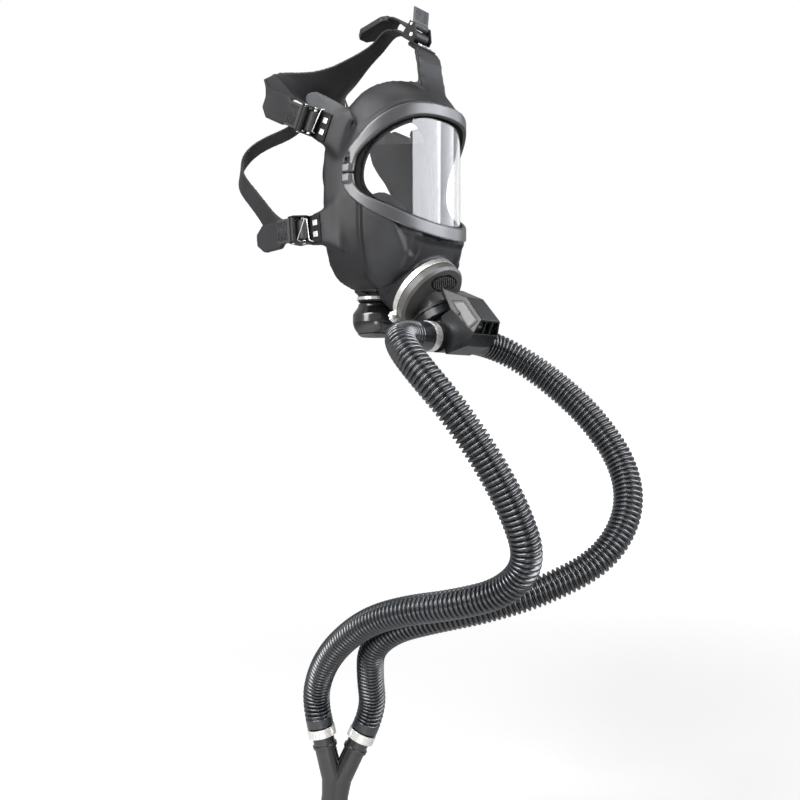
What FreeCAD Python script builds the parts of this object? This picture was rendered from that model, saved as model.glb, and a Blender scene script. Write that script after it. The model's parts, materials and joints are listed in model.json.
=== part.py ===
"""Full-face powered air respirator: mask, head harness, twin breathing hoses and Y-piece.

Millimetres, +Z up, the wearer's left side at +X, the front of the mask at -Y. The origin is the
middle of the face opening, where the wearer's head holds the mask. Every driving size is a cell of
the sheet "Sizes"; sketches and primitives are bound to those cells, and the computed shapes read them.
"""
import FreeCAD, Part
import math
import os
import re

import Sketcher

Vector = FreeCAD.Vector
X_AXIS = Vector(1, 0, 0)
Y_AXIS = Vector(0, 1, 0)
Z_AXIS = Vector(0, 0, 1)
ORIGIN = Vector(0, 0, 0)

DRIVING_SIZES = [
    # Panoramic lens, its gasket and the two-part frame around it
    ("lens_radius", 75),
    ("lens_wall", 2.5),
    ("lens_axis_setback", 40),
    ("gasket_wall", 2),
    ("gasket_visible", 4),
    ("lens_edge_in_gasket", 7),
    ("gasket_width", 9),
    ("frame_height", 4),
    ("frame_width", 12),
    ("frame_joint_level", 13),
    ("frame_joint_gap", 0.6),
    ("frame_boss_length", 9),
    # Rubber face blank
    ("blank_wall", 3.5),
    ("blank_side_margin", 3),
    ("opening_setback", 27),
    ("lip_wall", 2.5),
    ("lip_window_half_width", 57),
    ("lug_wall", 4),
    # Front connector drum, clamped in the sleeve of the face blank
    ("connector_setback", 90),
    ("connector_drop", 94.5),
    ("connector_tilt", 40),
    ("drum_radius", 33.5),
    ("drum_wall", 3.5),
    ("sleeve_wall", 3),
    ("sleeve_length", 16),
    ("drum_flange_radius", 37.5),
    ("drum_flange_depth", 9),
    ("band_width", 6),
    ("band_wall", 1.4),
    ("grille_radius", 10),
    ("grille_offset", 19.6),
    ("grille_hole_radius", 1.1),
    ("grille_hole_pitch", 3.4),
    # Breathing spigot with its coupling nut
    ("spigot_tilt", 60),
    ("spigot_radius", 19),
    ("spigot_neck_radius", 13.5),
    ("spigot_bore", 11),
    ("nut_start", 24.3),
    ("nut_length", 11.7),
    ("nut_radius", 24),
    ("claw_ring_radius", 26),
    ("claw_ring_width", 2.7),
    ("union_flange", 2),
    ("union_seal", 1.5),
    ("running_gap", 0.08),
    # Manifold tee and its slotted outlet hood
    ("tee_depth", 53),
    ("tee_radius", 14.5),
    ("tee_bore", 11),
    ("tee_half_length", 19),
    ("neck_radius", 15),
    ("chamber_half_width", 20),
    ("hood_base_half_width", 21),
    ("hood_top_half_width", 15),
    ("hood_wall", 2),
    ("hood_rib", 1.6),
    # Hose ports, hoses and clamps
    ("port_radius", 11.3),
    ("port_bore", 9.3),
    ("port_length", 20),
    ("hose_radius", 14),
    ("cuff_radius", 13.3),
    ("cuff_length", 13),
    ("clamp_wall", 1.3),
    ("clamp_width", 9),
    # Outlet valve under the chin
    ("chin_setback", 27),
    ("chin_sleeve_radius", 18),
    ("chin_plug_radius", 15.5),
    ("chin_sleeve_top", 86),
    ("chin_sleeve_bottom", 102),
    ("chin_bowl_radius", 23.5),
    ("chin_bowl_depth", 32),
    ("chin_bowl_wall", 2.2),
    # Nose cup
    ("cup_wall", 2),
    ("cup_valve_radius", 8),
    # Straps and buckles
    ("strap_width", 20),
    ("strap_wall", 2.4),
    ("pull_tab_width", 27),
    ("pull_tab_wall", 6),
    ("buckle_gauge", 1.2),
    ("buckle_half_width", 13),
    ("buckle_bar_radius", 2),
    ("buckle_bar_height", 6.4),
    ("lever_pin_radius", 1.5),
    ("lever_pin_height", 15),
    ("lever_hub_radius", 3),
    ("lever_reach", 17),
    # Y-piece and its swivel nut
    ("y_spread", 19),
    ("y_arm_length", 57),
    ("y_arm_radius", 11.3),
    ("y_tail_length", 58),
    ("y_tail_lobe", 9.5),
    ("swivel_radius", 17),
    ("swivel_length", 24),
]

document = FreeCAD.newDocument("Respirator")
sheet = document.addObject("Spreadsheet::Sheet", "Sizes")
for row, (alias, number) in enumerate(DRIVING_SIZES, start=1):
    sheet.set("A%d" % row, alias)
    sheet.set("B%d" % row, str(number))
    sheet.setAlias("B%d" % row, alias)
document.recompute()

ALIASES = {alias for alias, _ in DRIVING_SIZES}
NODES = {}


def size(alias):
    """Read one driving size from the sheet."""
    return float(sheet.get(alias))


def measure(text):
    """Work out an expression on the sheet's aliases as a number."""
    result = sheet.evalExpression(str(text))
    return float(getattr(result, "Value", result))


def bound(text):
    """Write an expression on aliases as one that another object can be bound to."""
    return re.sub(r"[a-z_]+", lambda word: "Sizes." + word.group() if word.group() in ALIASES
                  else word.group(), str(text))


def keep(label, shape_or_object):
    """Register a finished sub-part under the label that names its file."""
    if isinstance(shape_or_object, Part.Shape):
        holder = document.addObject("Part::Feature", label)
        holder.Shape = shape_or_object
    else:
        holder = shape_or_object
        holder.Label = label
    NODES[label] = holder
    return holder


def axes(origin, x_axis, z_axis):
    """Placement whose local X and Z run along the given directions."""
    along = Vector(x_axis).normalize()
    out = Vector(z_axis).normalize()
    side = out.cross(along)
    matrix = FreeCAD.Matrix(along.x, side.x, out.x, origin.x,
                            along.y, side.y, out.y, origin.y,
                            along.z, side.z, out.z, origin.z,
                            0, 0, 0, 1)
    return FreeCAD.Placement(matrix)


def sketch_polygon(body, name, role, corners):
    """Closed, fully constrained polygon on one of the body's own planes; corners are expressions."""
    plane = [item for item in body.Origin.OriginFeatures if item.Role == role][0]
    sketch = body.newObject("Sketcher::SketchObject", name)
    sketch.AttachmentSupport = [(plane, "")]
    sketch.MapMode = "FlatFace"
    places = [(measure(across), measure(up)) for across, up in corners]
    count = len(corners)
    for index, (across, up) in enumerate(places):
        following = places[(index + 1) % count]
        sketch.addGeometry(Part.LineSegment(Vector(across, up, 0), Vector(following[0], following[1], 0)), False)
    for index in range(count):
        sketch.addConstraint(Sketcher.Constraint("Coincident", index, 2, (index + 1) % count, 1))
    for index, (across, up) in enumerate(corners):
        rows = (("DistanceX", across, places[index][0], -2), ("DistanceY", up, places[index][1], -1))
        for kind, text, number, axis in rows:
            if abs(number) < 1e-9:
                sketch.addConstraint(Sketcher.Constraint("PointOnObject", index, 1, axis))
                continue
            place = sketch.addConstraint(Sketcher.Constraint(kind, -1, 1, index, 1, number))
            if re.search("[a-z]", str(text)):
                sketch.setExpression("Constraints[%d]" % place, bound(text))
    return sketch


def revolved(label, corners, placement=None, register=True):
    """PartDesign body turned about its own Z axis from a half profile of (radius, height) corners."""
    body = document.addObject("PartDesign::Body", label)
    sketch = sketch_polygon(body, label + "_profile", "XZ_Plane", corners)
    turned = body.newObject("PartDesign::Revolution", label + "_turned")
    turned.Profile = sketch
    turned.ReferenceAxis = (sketch, ["V_Axis"])
    turned.Angle = 360
    if placement:
        body.Placement = placement
    if register:
        keep(label, body)
    return body


def padded(label, role, corners, length, placement=None, register=True):
    """PartDesign body padded both ways from a polygon on one of its planes."""
    body = document.addObject("PartDesign::Body", label)
    pad = body.newObject("PartDesign::Pad", label + "_pad")
    pad.Profile = sketch_polygon(body, label + "_profile", role, corners)
    pad.Midplane = True
    pad.Length = measure(length)
    pad.setExpression("Length", bound(length))
    if placement:
        body.Placement = placement
    if register:
        keep(label, body)
    return body


def pocketed(body, name, role, corners, length):
    """Pocket cut both ways into a body from a polygon on one of its planes."""
    pocket = body.newObject("PartDesign::Pocket", name)
    pocket.Profile = sketch_polygon(body, name + "_profile", role, corners)
    pocket.Midplane = True
    pocket.Length = measure(length)
    pocket.setExpression("Length", bound(length))
    return pocket


def drilled(body, name, role, centre, radius, length):
    """Round pocket cut both ways; centre, radius and length are expressions."""
    plane = [item for item in body.Origin.OriginFeatures if item.Role == role][0]
    sketch = body.newObject("Sketcher::SketchObject", name + "_circle")
    sketch.AttachmentSupport = [(plane, "")]
    sketch.MapMode = "FlatFace"
    across = measure(centre[0])
    up = measure(centre[1])
    sketch.addGeometry(Part.Circle(Vector(across, up, 0), Z_AXIS, measure(radius)), False)
    place = sketch.addConstraint(Sketcher.Constraint("Radius", 0, measure(radius)))
    sketch.setExpression("Constraints[%d]" % place, bound(radius))
    for kind, text, number, axis in (("DistanceX", centre[0], across, -2), ("DistanceY", centre[1], up, -1)):
        if abs(number) < 1e-9:
            sketch.addConstraint(Sketcher.Constraint("PointOnObject", 0, 3, axis))
            continue
        place = sketch.addConstraint(Sketcher.Constraint(kind, -1, 1, 0, 3, number))
        if re.search("[a-z]", str(text)):
            sketch.setExpression("Constraints[%d]" % place, bound(text))
    pocket = body.newObject("PartDesign::Pocket", name)
    pocket.Profile = sketch
    pocket.Midplane = True
    pocket.Length = measure(length)
    pocket.setExpression("Length", bound(length))
    return pocket


def tube(outer, inner, start, end, centre=ORIGIN, direction=Z_AXIS):
    """Hollow cylinder between two distances along a direction."""
    base = centre + direction * start
    wall = Part.makeCylinder(outer, end - start, base, direction)
    if inner <= 0:
        return wall
    return wall.cut(Part.makeCylinder(inner, end - start, base, direction))


def prism_x(face, half_length):
    """Extrude a face of the YZ plane both ways along X."""
    moved = face.copy()
    moved.translate(Vector(-half_length, 0, 0))
    return moved.extrude(Vector(2 * half_length, 0, 0))


def ribbon(stations, width, wall):
    """Strap lofted through oblong sections; each station is (centre, outward normal)."""
    wires = []
    centres = [Vector(centre) for centre, _ in stations]
    for index, (centre, normal) in enumerate(stations):
        ahead = centres[min(index + 1, len(centres) - 1)]
        behind = centres[max(index - 1, 0)]
        along = (ahead - behind).normalize()
        out = Vector(normal) - along * along.dot(Vector(normal))
        out.normalize()
        side = out.cross(along) * (width / 2)
        out = out * (wall / 2)
        middle = Vector(centre)
        corners = [middle + side + out, middle - side + out, middle - side - out, middle + side - out]
        wires.append(Part.makePolygon(corners + corners[:1]))
    return Part.makeLoft(wires, True, False)


def mirrored(shape):
    """The same piece on the other side of the wearer's face."""
    return shape.mirror(ORIGIN, X_AXIS)


# ---------------------------------------------------------------- shared frames and radii
connector_centre = Vector(0, -size("connector_setback"), -size("connector_drop"))
connector_frame = FreeCAD.Placement(connector_centre, FreeCAD.Rotation(X_AXIS, 90 + size("connector_tilt")))
spigot_frame = FreeCAD.Placement(connector_centre, FreeCAD.Rotation(X_AXIS, 90 + size("spigot_tilt")))
connector_axis = connector_frame.Rotation.multVec(Z_AXIS)
connector_up = connector_frame.Rotation.multVec(Y_AXIS)
spigot_axis = spigot_frame.Rotation.multVec(Z_AXIS)
spigot_front = spigot_frame.Rotation.multVec(Y_AXIS)
lens_axis_point = Vector(0, -size("lens_axis_setback"), 0)

gasket_inner = size("lens_radius") - size("lens_wall") - size("gasket_wall")
gasket_outer = size("lens_radius") + size("gasket_wall")
frame_outer = gasket_outer + size("frame_height")
chin_centre = Vector(0, -size("chin_setback"), 0)


# ---------------------------------------------------------------- lens, gasket and frame
def frame_outline(inset):
    """Edge of the lens frame seen from the side, moved inwards and closed well in front of the lens."""
    rim = [(-150, 84.5), (-114, 85), (-102, 81), (-86, 71), (-66, 52.5), (-54.5, 33), (-50.5, 14),
           (-52.5, -2), (-60, -15), (-72, -25.5), (-86, -33.5), (-102, -43), (-116, -50.5), (-150, -66)]
    shift = 40 - size("lens_axis_setback") - (size("lens_radius") - 75)
    edge = Part.BSplineCurve()
    edge.interpolate([Vector(0, y + shift, z) for y, z in rim])
    steps = 22
    moved = []
    for step in range(steps + 1):
        place = edge.LastParameter * step / steps
        along = Vector(edge.tangent(place)[0]).normalize()
        moved.append(edge.value(place) + Vector(0, along.z, -along.y) * inset)
    curve = Part.BSplineCurve()
    curve.interpolate(moved)
    return Part.Wire([curve.toShape(), Part.makeLine(moved[-1], moved[0])])


def lens_window(inset):
    """Prism through the whole mask whose side view is the frame outline moved inwards."""
    return prism_x(Part.Face(frame_outline(inset)), 2 * size("lens_radius"))


def lens_shell(inner, outer):
    """Upright cylinder wall about the lens axis, front half only."""
    reach = 110
    wall = tube(outer, inner, -reach, reach, lens_axis_point)
    front = Part.makeBox(4 * outer, 2 * outer, 2 * reach,
                         Vector(-2 * outer, -size("lens_axis_setback") - 2 * outer - 5, -reach))
    return wall.common(front)


window_frame_outer = lens_window(0)
window_gasket_outer = lens_window(size("frame_width") + size("gasket_visible") - size("gasket_width"))
window_lens = lens_window(size("frame_width") + size("gasket_visible") - size("lens_edge_in_gasket"))
window_frame_inner = lens_window(size("frame_width"))
window_clear = lens_window(size("frame_width") + size("gasket_visible"))

lens_shape = lens_shell(size("lens_radius") - size("lens_wall"), size("lens_radius")).common(window_lens)
keep("lens", lens_shape)

gasket_shape = lens_shell(gasket_inner, gasket_outer).common(window_gasket_outer).cut(window_clear)
keep("lens_gasket", gasket_shape.cut(lens_shape))

frame_shape = lens_shell(gasket_outer, frame_outer).common(window_frame_outer).cut(window_frame_inner)

# the two frame halves meet at a joint on each side, where a boss on each takes a screw
boss_centre_y = -size("lens_axis_setback") - 16
boss_x = math.sqrt((gasket_outer + size("frame_height") / 2 + 1) ** 2 - 16 ** 2)
joint_level = size("frame_joint_level")
boss_reach = size("frame_boss_length")
boss_box = Part.makeBox(4 * frame_outer, 9, 2 * boss_reach,
                        Vector(-2 * frame_outer, boss_centre_y - 4.5, joint_level - boss_reach))
bosses = lens_shell(gasket_outer, frame_outer + 2).common(boss_box)
frame_shape = frame_shape.fuse(bosses)
screws = []
for side in (-1, 1):
    foot = Vector(side * boss_x, boss_centre_y, joint_level - boss_reach + 1.5)
    shank = Part.makeCylinder(1.5, 2 * boss_reach - 1.5, foot)
    head = Part.makeCylinder(2.7, 1.8, foot + Vector(0, 0, 2 * boss_reach - 1.5))
    slot = Part.makeBox(6, 0.8, 0.8, foot + Vector(-3, -0.4, 2 * boss_reach - 0.5))
    screws.append(shank.fuse(head).cut(slot))
frame_screws = Part.makeCompound(screws)
keep("lens_frame_screws", frame_screws)
half_space = 4 * frame_outer
above = Part.makeBox(2 * half_space, 2 * half_space, half_space,
                     Vector(-half_space, -half_space, joint_level + size("frame_joint_gap") / 2))
below = Part.makeBox(2 * half_space, 2 * half_space, half_space,
                     Vector(-half_space, -half_space, joint_level - size("frame_joint_gap") / 2 - half_space))
screw_room = [Part.makeCylinder(2.7, 6, Vector(side * boss_x, boss_centre_y, joint_level + boss_reach))
              for side in (-1, 1)]
screw_cut = Part.makeCompound([Part.makeCylinder(1.5, 3 * boss_reach,
                                                 Vector(side * boss_x, boss_centre_y, joint_level - boss_reach + 1.5))
                               for side in (-1, 1)] + screw_room)
keep("lens_frame_upper", frame_shape.common(above).cut(screw_cut))
keep("lens_frame_lower", frame_shape.common(below).cut(screw_cut))


# ---------------------------------------------------------------- rubber face blank
BLANK_SECTIONS = [
    # level, narrower than the widest section, further back than the foremost section
    (118, 26, 36), (107, 18, 25), (98, 11, 15), (86, 6, 5), (68, 2, 1), (40, 0, 0), (0, 0, 0),
    (-30, 0.5, 1), (-50, 2.5, 4), (-66, 6, 9), (-79, 13, 15), (-87, 24, 22), (-92, 40, 32),
]
blank_half_width = gasket_outer + size("blank_side_margin")
blank_front = size("lens_axis_setback") + gasket_outer


def plan_curve(half_width, front, back, level, power):
    """Horizontal section, rounded at the front and closed by a straight line at the back."""
    points = []
    steps = 18
    for step in range(steps + 1):
        turn = math.pi * step / steps
        across = half_width * math.copysign(abs(math.cos(turn)) ** (2 / power), math.cos(turn))
        points.append(Vector(across, back - (back + front) * abs(math.sin(turn)) ** (2 / power), level))
    curve = Part.BSplineCurve()
    curve.interpolate(points)
    return Part.Wire([curve.toShape(), Part.makeLine(points[-1], points[0])])


def blank_body(inset, back, overrun):
    """Solid of the face blank's outer form, or of its hollow when inset by the wall."""
    wires = []
    for level, narrowing, retreat in BLANK_SECTIONS:
        height = level + inset if level < -60 else level
        wires.append(plan_curve(blank_half_width - narrowing - inset, blank_front - retreat - inset, back,
                                height + (overrun if level > 100 else 0), 2.3))
    return Part.makeLoft(wires, True, False)


def rear_cut():
    """Everything behind and above the rim of the face opening, as a prism along X."""
    back = -size("opening_setback")
    rim = [(back - 2, -150), (back - 2, -92), (back, -45), (back, 0), (back - 0.5, 34), (back - 5, 53),
           (back - 15, 69), (back - 30, 84.5), (back - 42, 96.5), (back - 56, 105.5), (back - 72, 110),
           (back - 140, 112)]
    points = [Vector(0, y, z) for y, z in rim]
    curve = Part.BSplineCurve()
    curve.interpolate(points)
    beyond = [points[-1], Vector(0, back - 140, 260), Vector(0, 260, 260), Vector(0, 260, -150), points[0]]
    face = Part.Face(Part.Wire([curve.toShape()] + [Part.makeLine(beyond[i], beyond[i + 1]) for i in range(4)]))
    return prism_x(face, 200)


def sealing_lip():
    """Turned-in lip that lies on the wearer's temples and forehead."""
    walls = []
    for inset in (0, size("lip_wall")):
        wires = []
        for level, narrowing, retreat in BLANK_SECTIONS:
            if level < -70 or level > 110:
                continue
            wires.append(plan_curve(blank_half_width + 4 - narrowing - inset, 70 - retreat / 3 - inset, -20,
                                    level, 2.05))
        walls.append(Part.makeLoft(wires, True, False))
    band = walls[0].cut(walls[1])
    window = Part.makeCylinder(1, 200, Vector(0, -170, 0), Y_AXIS)
    stretch = FreeCAD.Matrix()
    stretch.scale(size("lip_window_half_width"), 1, 70)
    window = window.transformGeometry(stretch)
    window.translate(Vector(0, 0, 6))
    chin_room = Part.makeBox(92, 200, 90, Vector(-46, -170, -100))
    return band.cut(window).cut(chin_room)


outer_blank = blank_body(0, -15, 0)
hollow_blank = blank_body(size("blank_wall"), -10, 4)
sleeve_outer = size("drum_radius") + size("sleeve_wall")
flange_start = size("band_width") / 2 + 0.3
sleeve = Part.makeCylinder(sleeve_outer, 28.5 + size("band_width") / 2, connector_centre - connector_axis * 28.5,
                           connector_axis)
drum_bore = Part.makeCylinder(size("drum_radius"), 60, connector_centre - connector_axis * 23, connector_axis)
chin_top = -size("chin_sleeve_top")
chin_bottom = -size("chin_sleeve_bottom")
chin_boss = Part.makeCylinder(size("chin_sleeve_radius") + 4, 8, chin_centre + Vector(0, 0, -92))
chin_boss = chin_boss.makeFillet(2.5, [edge for edge in chin_boss.Edges
                                       if edge.BoundBox.ZLength < 0.1 and len(edge.Vertexes) == 1])
chin_sleeve = Part.makeCylinder(size("chin_sleeve_radius"), chin_top - chin_bottom,
                                chin_centre + Vector(0, 0, chin_bottom))
chin_bore = Part.makeCylinder(size("chin_plug_radius"), 40, chin_centre + Vector(0, 0, chin_bottom - 1))
trim = rear_cut()
shell = outer_blank.cut(trim).fuse([sleeve, chin_boss, chin_sleeve])
shell = shell.cut([hollow_blank, drum_bore, chin_bore])


# the wall under the frame, where the gasket and the frame are seated
seat_ring = lens_shell(gasket_inner, gasket_outer).common(window_frame_outer)
frame_recess = lens_shell(gasket_outer, frame_outer + 20).common(lens_window(-0.3))
shell = shell.fuse(seat_ring).cut([window_gasket_outer.common(lens_shell(40, frame_outer + 20)), frame_recess])


def buckle_place(origin, along, outward):
    """Frame of one buckle: local X along the strap, away from the mask; local Z away from the head."""
    return axes(Vector(origin), Vector(along), Vector(outward))


temple_place = buckle_place((-85, -27, 62), (0, 0.899, 0.438), (-1, 0, 0))
neck_place = buckle_place((-83, -14, -37), (0, 0.996, -0.087), (-1, 0, 0))
crown_place = buckle_place((0, -81.2, 148.8), (0, 0.819, 0.574), (0, -0.574, 0.819))


def lug_plate(place, sections):
    """Tapering rubber lug; each section is (distance along, inner face, outer face, half width)."""
    wires = []
    for along, inner, outer, half in sections:
        corners = [Vector(along, half, inner), Vector(along, -half, inner),
                   Vector(along, -half, outer), Vector(along, half, outer)]
        corners = [place.multVec(corner) for corner in corners]
        wires.append(Part.makePolygon(corners + corners[:1]))
    return Part.makeLoft(wires, True, True)


lug = size("lug_wall")
temple_lug = lug_plate(temple_place, [(-33, -8.5, -4.8, 22), (-24, -7.5, -2.6, 20), (-14, -6, 0, 17),
                                      (5, -lug, 0, 14), (10, -lug + 0.6, -0.4, 13.2), (24, -3, -1, 12)])
neck_lug = lug_plate(neck_place, [(-34, -8, -4.4, 27), (-24, -7.4, -2.4, 23), (-14, -6, 0, 17),
                                  (4, -lug, 0, 13.5), (10, -lug + 0.6, -0.4, 12.5)])
crown_lug = lug_plate(crown_place, [(4, -lug, 0, 12), (-13, -lug, 0, 12.3), (-14.5, -lug - 0.5, -0.2, 12.3)])
crown_base = crown_place.multVec(Vector(-14.5, 0, -lug / 2 - 0.35))
crown_rise = [((0, -107, 88), (0, -0.8, 0.6), 46), ((0, -100, 100), (0, -0.86, 0.5), 35),
              ((0, -96, 114), (0, -0.96, 0.28), 28.5), ((0, -94, 128), (0, -0.97, 0.22), 25),
              (tuple(crown_base), (0, -0.75, 0.66), 24.4)]


def tapered_ribbon(stations, wall):
    """Ribbon whose width changes; each station is (centre, outward normal, width)."""
    wires = []
    for centre, normal, width in stations:
        out = Vector(normal).normalize() * (wall / 2)
        side = X_AXIS * (width / 2)
        middle = Vector(centre)
        corners = [middle + side + out, middle - side + out, middle - side - out, middle + side - out]
        wires.append(Part.makePolygon(corners + corners[:1]))
    return Part.makeLoft(wires, True, True)


crown_stem = tapered_ribbon(crown_rise, lug + 0.6)
lugs = [temple_lug, mirrored(temple_lug), neck_lug, mirrored(neck_lug), crown_lug, crown_stem]
outer_skin_hollow = hollow_blank.cut(trim)
lugs = [piece.cut(outer_skin_hollow) for piece in lugs]
blank_shape = shell.fuse(lugs + [sealing_lip().common(outer_blank).cut(trim)])


# ---------------------------------------------------------------- front connector
wall = size("drum_wall")
flange_start = "(band_width/2+0.3)"
drum_front = "(band_width/2+0.3+drum_flange_depth)"
drum = revolved("drum_form", [
    ("drum_radius-drum_wall", "-sleeve_length"), ("drum_radius", "-sleeve_length"),
    ("drum_radius", flange_start), ("drum_flange_radius", flange_start),
    ("drum_flange_radius", drum_front + "-2.2"), ("drum_flange_radius-2.6", drum_front),
    ("0", drum_front), ("0", drum_front + "-drum_wall-0.5"),
    ("drum_radius-drum_wall", drum_front + "-drum_wall-0.5")], connector_frame, False)
document.recompute()
drum_front = measure(drum_front)
drum_inside = drum_front - wall - 0.5
grille_centre = connector_frame.multVec(Vector(0, size("grille_offset"), 0))
grille_radius = size("grille_radius")
collar_start = size("nut_start") - 1.3
collar_end = collar_start + 7
seal_end = collar_end + size("union_seal")
flange_end = seal_end + size("union_flange")
spigot_bore = size("spigot_bore")
housing = drum.Shape.fuse([
    Part.makeCylinder(size("spigot_neck_radius"), collar_end - 4, connector_centre + spigot_axis * 4, spigot_axis),
    tube(size("spigot_radius"), 0, collar_start, collar_end, connector_centre, spigot_axis)])
drum_hollow = Part.makeCylinder(size("drum_radius") - wall, drum_inside + 40,
                                connector_centre - connector_axis * 40, connector_axis)
housing = housing.cut([
    drum_hollow,
    Part.makeCylinder(spigot_bore, collar_end + 10, connector_centre, spigot_axis),
    tube(grille_radius, 0, drum_front - 2.4, drum_front + 1, grille_centre, connector_axis),
    tube(grille_radius - 1.6, 0, drum_inside - 1, drum_front, grille_centre, connector_axis)])
keep("connector_housing", housing)

grille = tube(grille_radius, 0, drum_front - 2.4, drum_front - 0.8, grille_centre, connector_axis)
pitch = size("grille_hole_pitch")
grille_holes = []
for row in range(-3, 4):
    for column in range(-3, 4):
        across = pitch * (column + (row % 2) / 2)
        up = pitch * row * math.sqrt(3) / 2
        if math.hypot(across, up) > grille_radius - 2 * size("grille_hole_radius") - 0.3:
            continue
        spot = connector_frame.multVec(Vector(across, size("grille_offset") + up, 0))
        grille_holes.append(tube(size("grille_hole_radius"), 0, drum_front - 3, drum_front, spot, connector_axis))
keep("speech_grille", grille.cut(grille_holes))
keep("speech_diaphragm", tube(grille_radius - 1.6, 0, drum_front - 3, drum_front - 2.4, grille_centre,
                              connector_axis))

# band clamp round the sleeve, drawn together by a screw through its two ears
band_inner = size("drum_radius") + size("sleeve_wall")
band_outer = band_inner + size("band_wall")
half_band = size("band_width") / 2
band = tube(band_outer, band_inner, -half_band, half_band - 0.4, connector_centre, connector_axis)
EAR_TURN = 232
ear_frame = connector_frame.multiply(FreeCAD.Placement(ORIGIN, FreeCAD.Rotation(Z_AXIS, EAR_TURN)))
ear_shapes = []
for side in (-1, 1):
    ear = Part.makeBox(7.5, 1.4, 2 * half_band - 0.4, Vector(band_inner + 0.4, side * 3 - 0.7, -half_band))
    ear_shapes.append(ear.transformGeometry(ear_frame.Matrix))
gap = Part.makeBox(6, 4.6, 10, Vector(band_inner - 1, -2.3, -5)).transformGeometry(ear_frame.Matrix)
screw_place = Vector(band_outer + 3.2, -8, -0.2)
screw_axis = ear_frame.Rotation.multVec(Y_AXIS)
screw_foot = ear_frame.multVec(screw_place)
screw_hole = Part.makeCylinder(1.25, 30, screw_foot, screw_axis)
keep("connector_clamp", band.cut(gap).fuse(ear_shapes).cut(screw_hole))
screw_head = Part.makeCylinder(2.4, 2.2, screw_foot + screw_axis * 2.1, screw_axis)
screw_nut = Part.makeCylinder(2.3, 2, screw_foot + screw_axis * 11.7, screw_axis)
keep("connector_clamp_screw", Part.makeCylinder(1.25, 14, screw_foot + screw_axis * 2.1, screw_axis).fuse(
    [screw_head, screw_nut]))

# inhalation valve in the mouth of the spigot: spoked seat and a flap disc that lifts off towards the mask
def spoked_ring(outer, inner, start, end, centre, direction, hub, spokes=3):
    """Valve seat: a ring with a hub held by thin spokes."""
    pieces = [tube(hub, 0, start, end, centre, direction)]
    frame = FreeCAD.Placement(centre, FreeCAD.Rotation(Z_AXIS, direction))
    for index in range(spokes):
        spoke = Part.makeBox((inner + outer) / 2, 1.2, end - start, Vector(0, -0.6, start))
        turn = FreeCAD.Placement(ORIGIN, FreeCAD.Rotation(Z_AXIS, 360 * index / spokes))
        pieces.append(spoke.transformGeometry(frame.multiply(turn).Matrix))
    return tube(outer, inner, start, end, centre, direction).fuse(pieces)


keep("inhalation_valve_seat", spoked_ring(spigot_bore, spigot_bore - 2.5, 15, 17, connector_centre, spigot_axis, 2))
keep("inhalation_valve_disc", tube(spigot_bore - 0.8, 0, 14, 14.8, connector_centre, spigot_axis))

# coupling nut turning on the spigot's collar, with its steel claw ring
nut_bore = "(spigot_radius+running_gap)"
lip_bore = "(neck_radius+running_gap)"
flange_level = "(nut_start-1.3+7+union_seal+union_flange+running_gap)"
revolved("coupling_nut", [
    (nut_bore, "nut_start"), ("nut_radius-1", "nut_start"), ("nut_radius-1", "nut_start+claw_ring_width"),
    ("nut_radius", "nut_start+claw_ring_width"), ("nut_radius", "nut_start+nut_length-1"),
    ("nut_radius-1", "nut_start+nut_length"), (lip_bore, "nut_start+nut_length"), (lip_bore, flange_level),
    (nut_bore, flange_level)], spigot_frame)
claw_start = size("nut_start")
claw_end = claw_start + size("claw_ring_width")
claws = []
for index in range(10):
    claw = Part.makeBox(2.6, 6, size("claw_ring_width"), Vector(size("claw_ring_radius") - 2.2, -3, claw_start))
    turn = FreeCAD.Placement(ORIGIN, FreeCAD.Rotation(Z_AXIS, 36 * index))
    claws.append(claw.transformGeometry(spigot_frame.multiply(turn).Matrix))
claw_base = tube(size("claw_ring_radius") - 1, size("nut_radius") - 1, claw_start, claw_end,
                 connector_centre, spigot_axis)
claw_limit = tube(size("claw_ring_radius"), size("nut_radius") - 1, claw_start, claw_end,
                  connector_centre, spigot_axis)
keep("coupling_claw_ring", claw_base.fuse(claws).common(claw_limit))
revolved("coupling_seal", [
    ("spigot_bore", "nut_start+5.7"), ("spigot_radius-0.5", "nut_start+5.7"),
    ("spigot_radius-0.5", "nut_start+5.7+union_seal"), ("spigot_bore", "nut_start+5.7+union_seal")], spigot_frame)


# ---------------------------------------------------------------- manifold tee and outlet hood
def along_spigot(forward, upward):
    """Point of the mid-plane at a distance along the spigot axis and a height in front of it."""
    return connector_centre + spigot_axis * forward + spigot_front * upward


tee_depth = size("tee_depth")
tee_centre = along_spigot(tee_depth, 0)
seat_near = along_spigot(39.4, 27.6)
seat_far = along_spigot(73.5, 38.4)
seat_slope = (seat_far - seat_near).normalize()
seat_normal = Vector(0, seat_slope.z, -seat_slope.y)
seat_centre = (seat_near + seat_far) * 0.5


def side_prism(points, half_length):
    """Prism along X of a polygon given by mid-plane points."""
    face = Part.Face(Part.makePolygon(points + points[:1]))
    return prism_x(face, half_length)


def inset_profile(points, wall):
    """Mid-plane polygon moved inwards by the wall."""
    outline = Part.makePolygon(points + points[:1])
    return Part.Face(outline.makeOffset2D(-wall))


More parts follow.
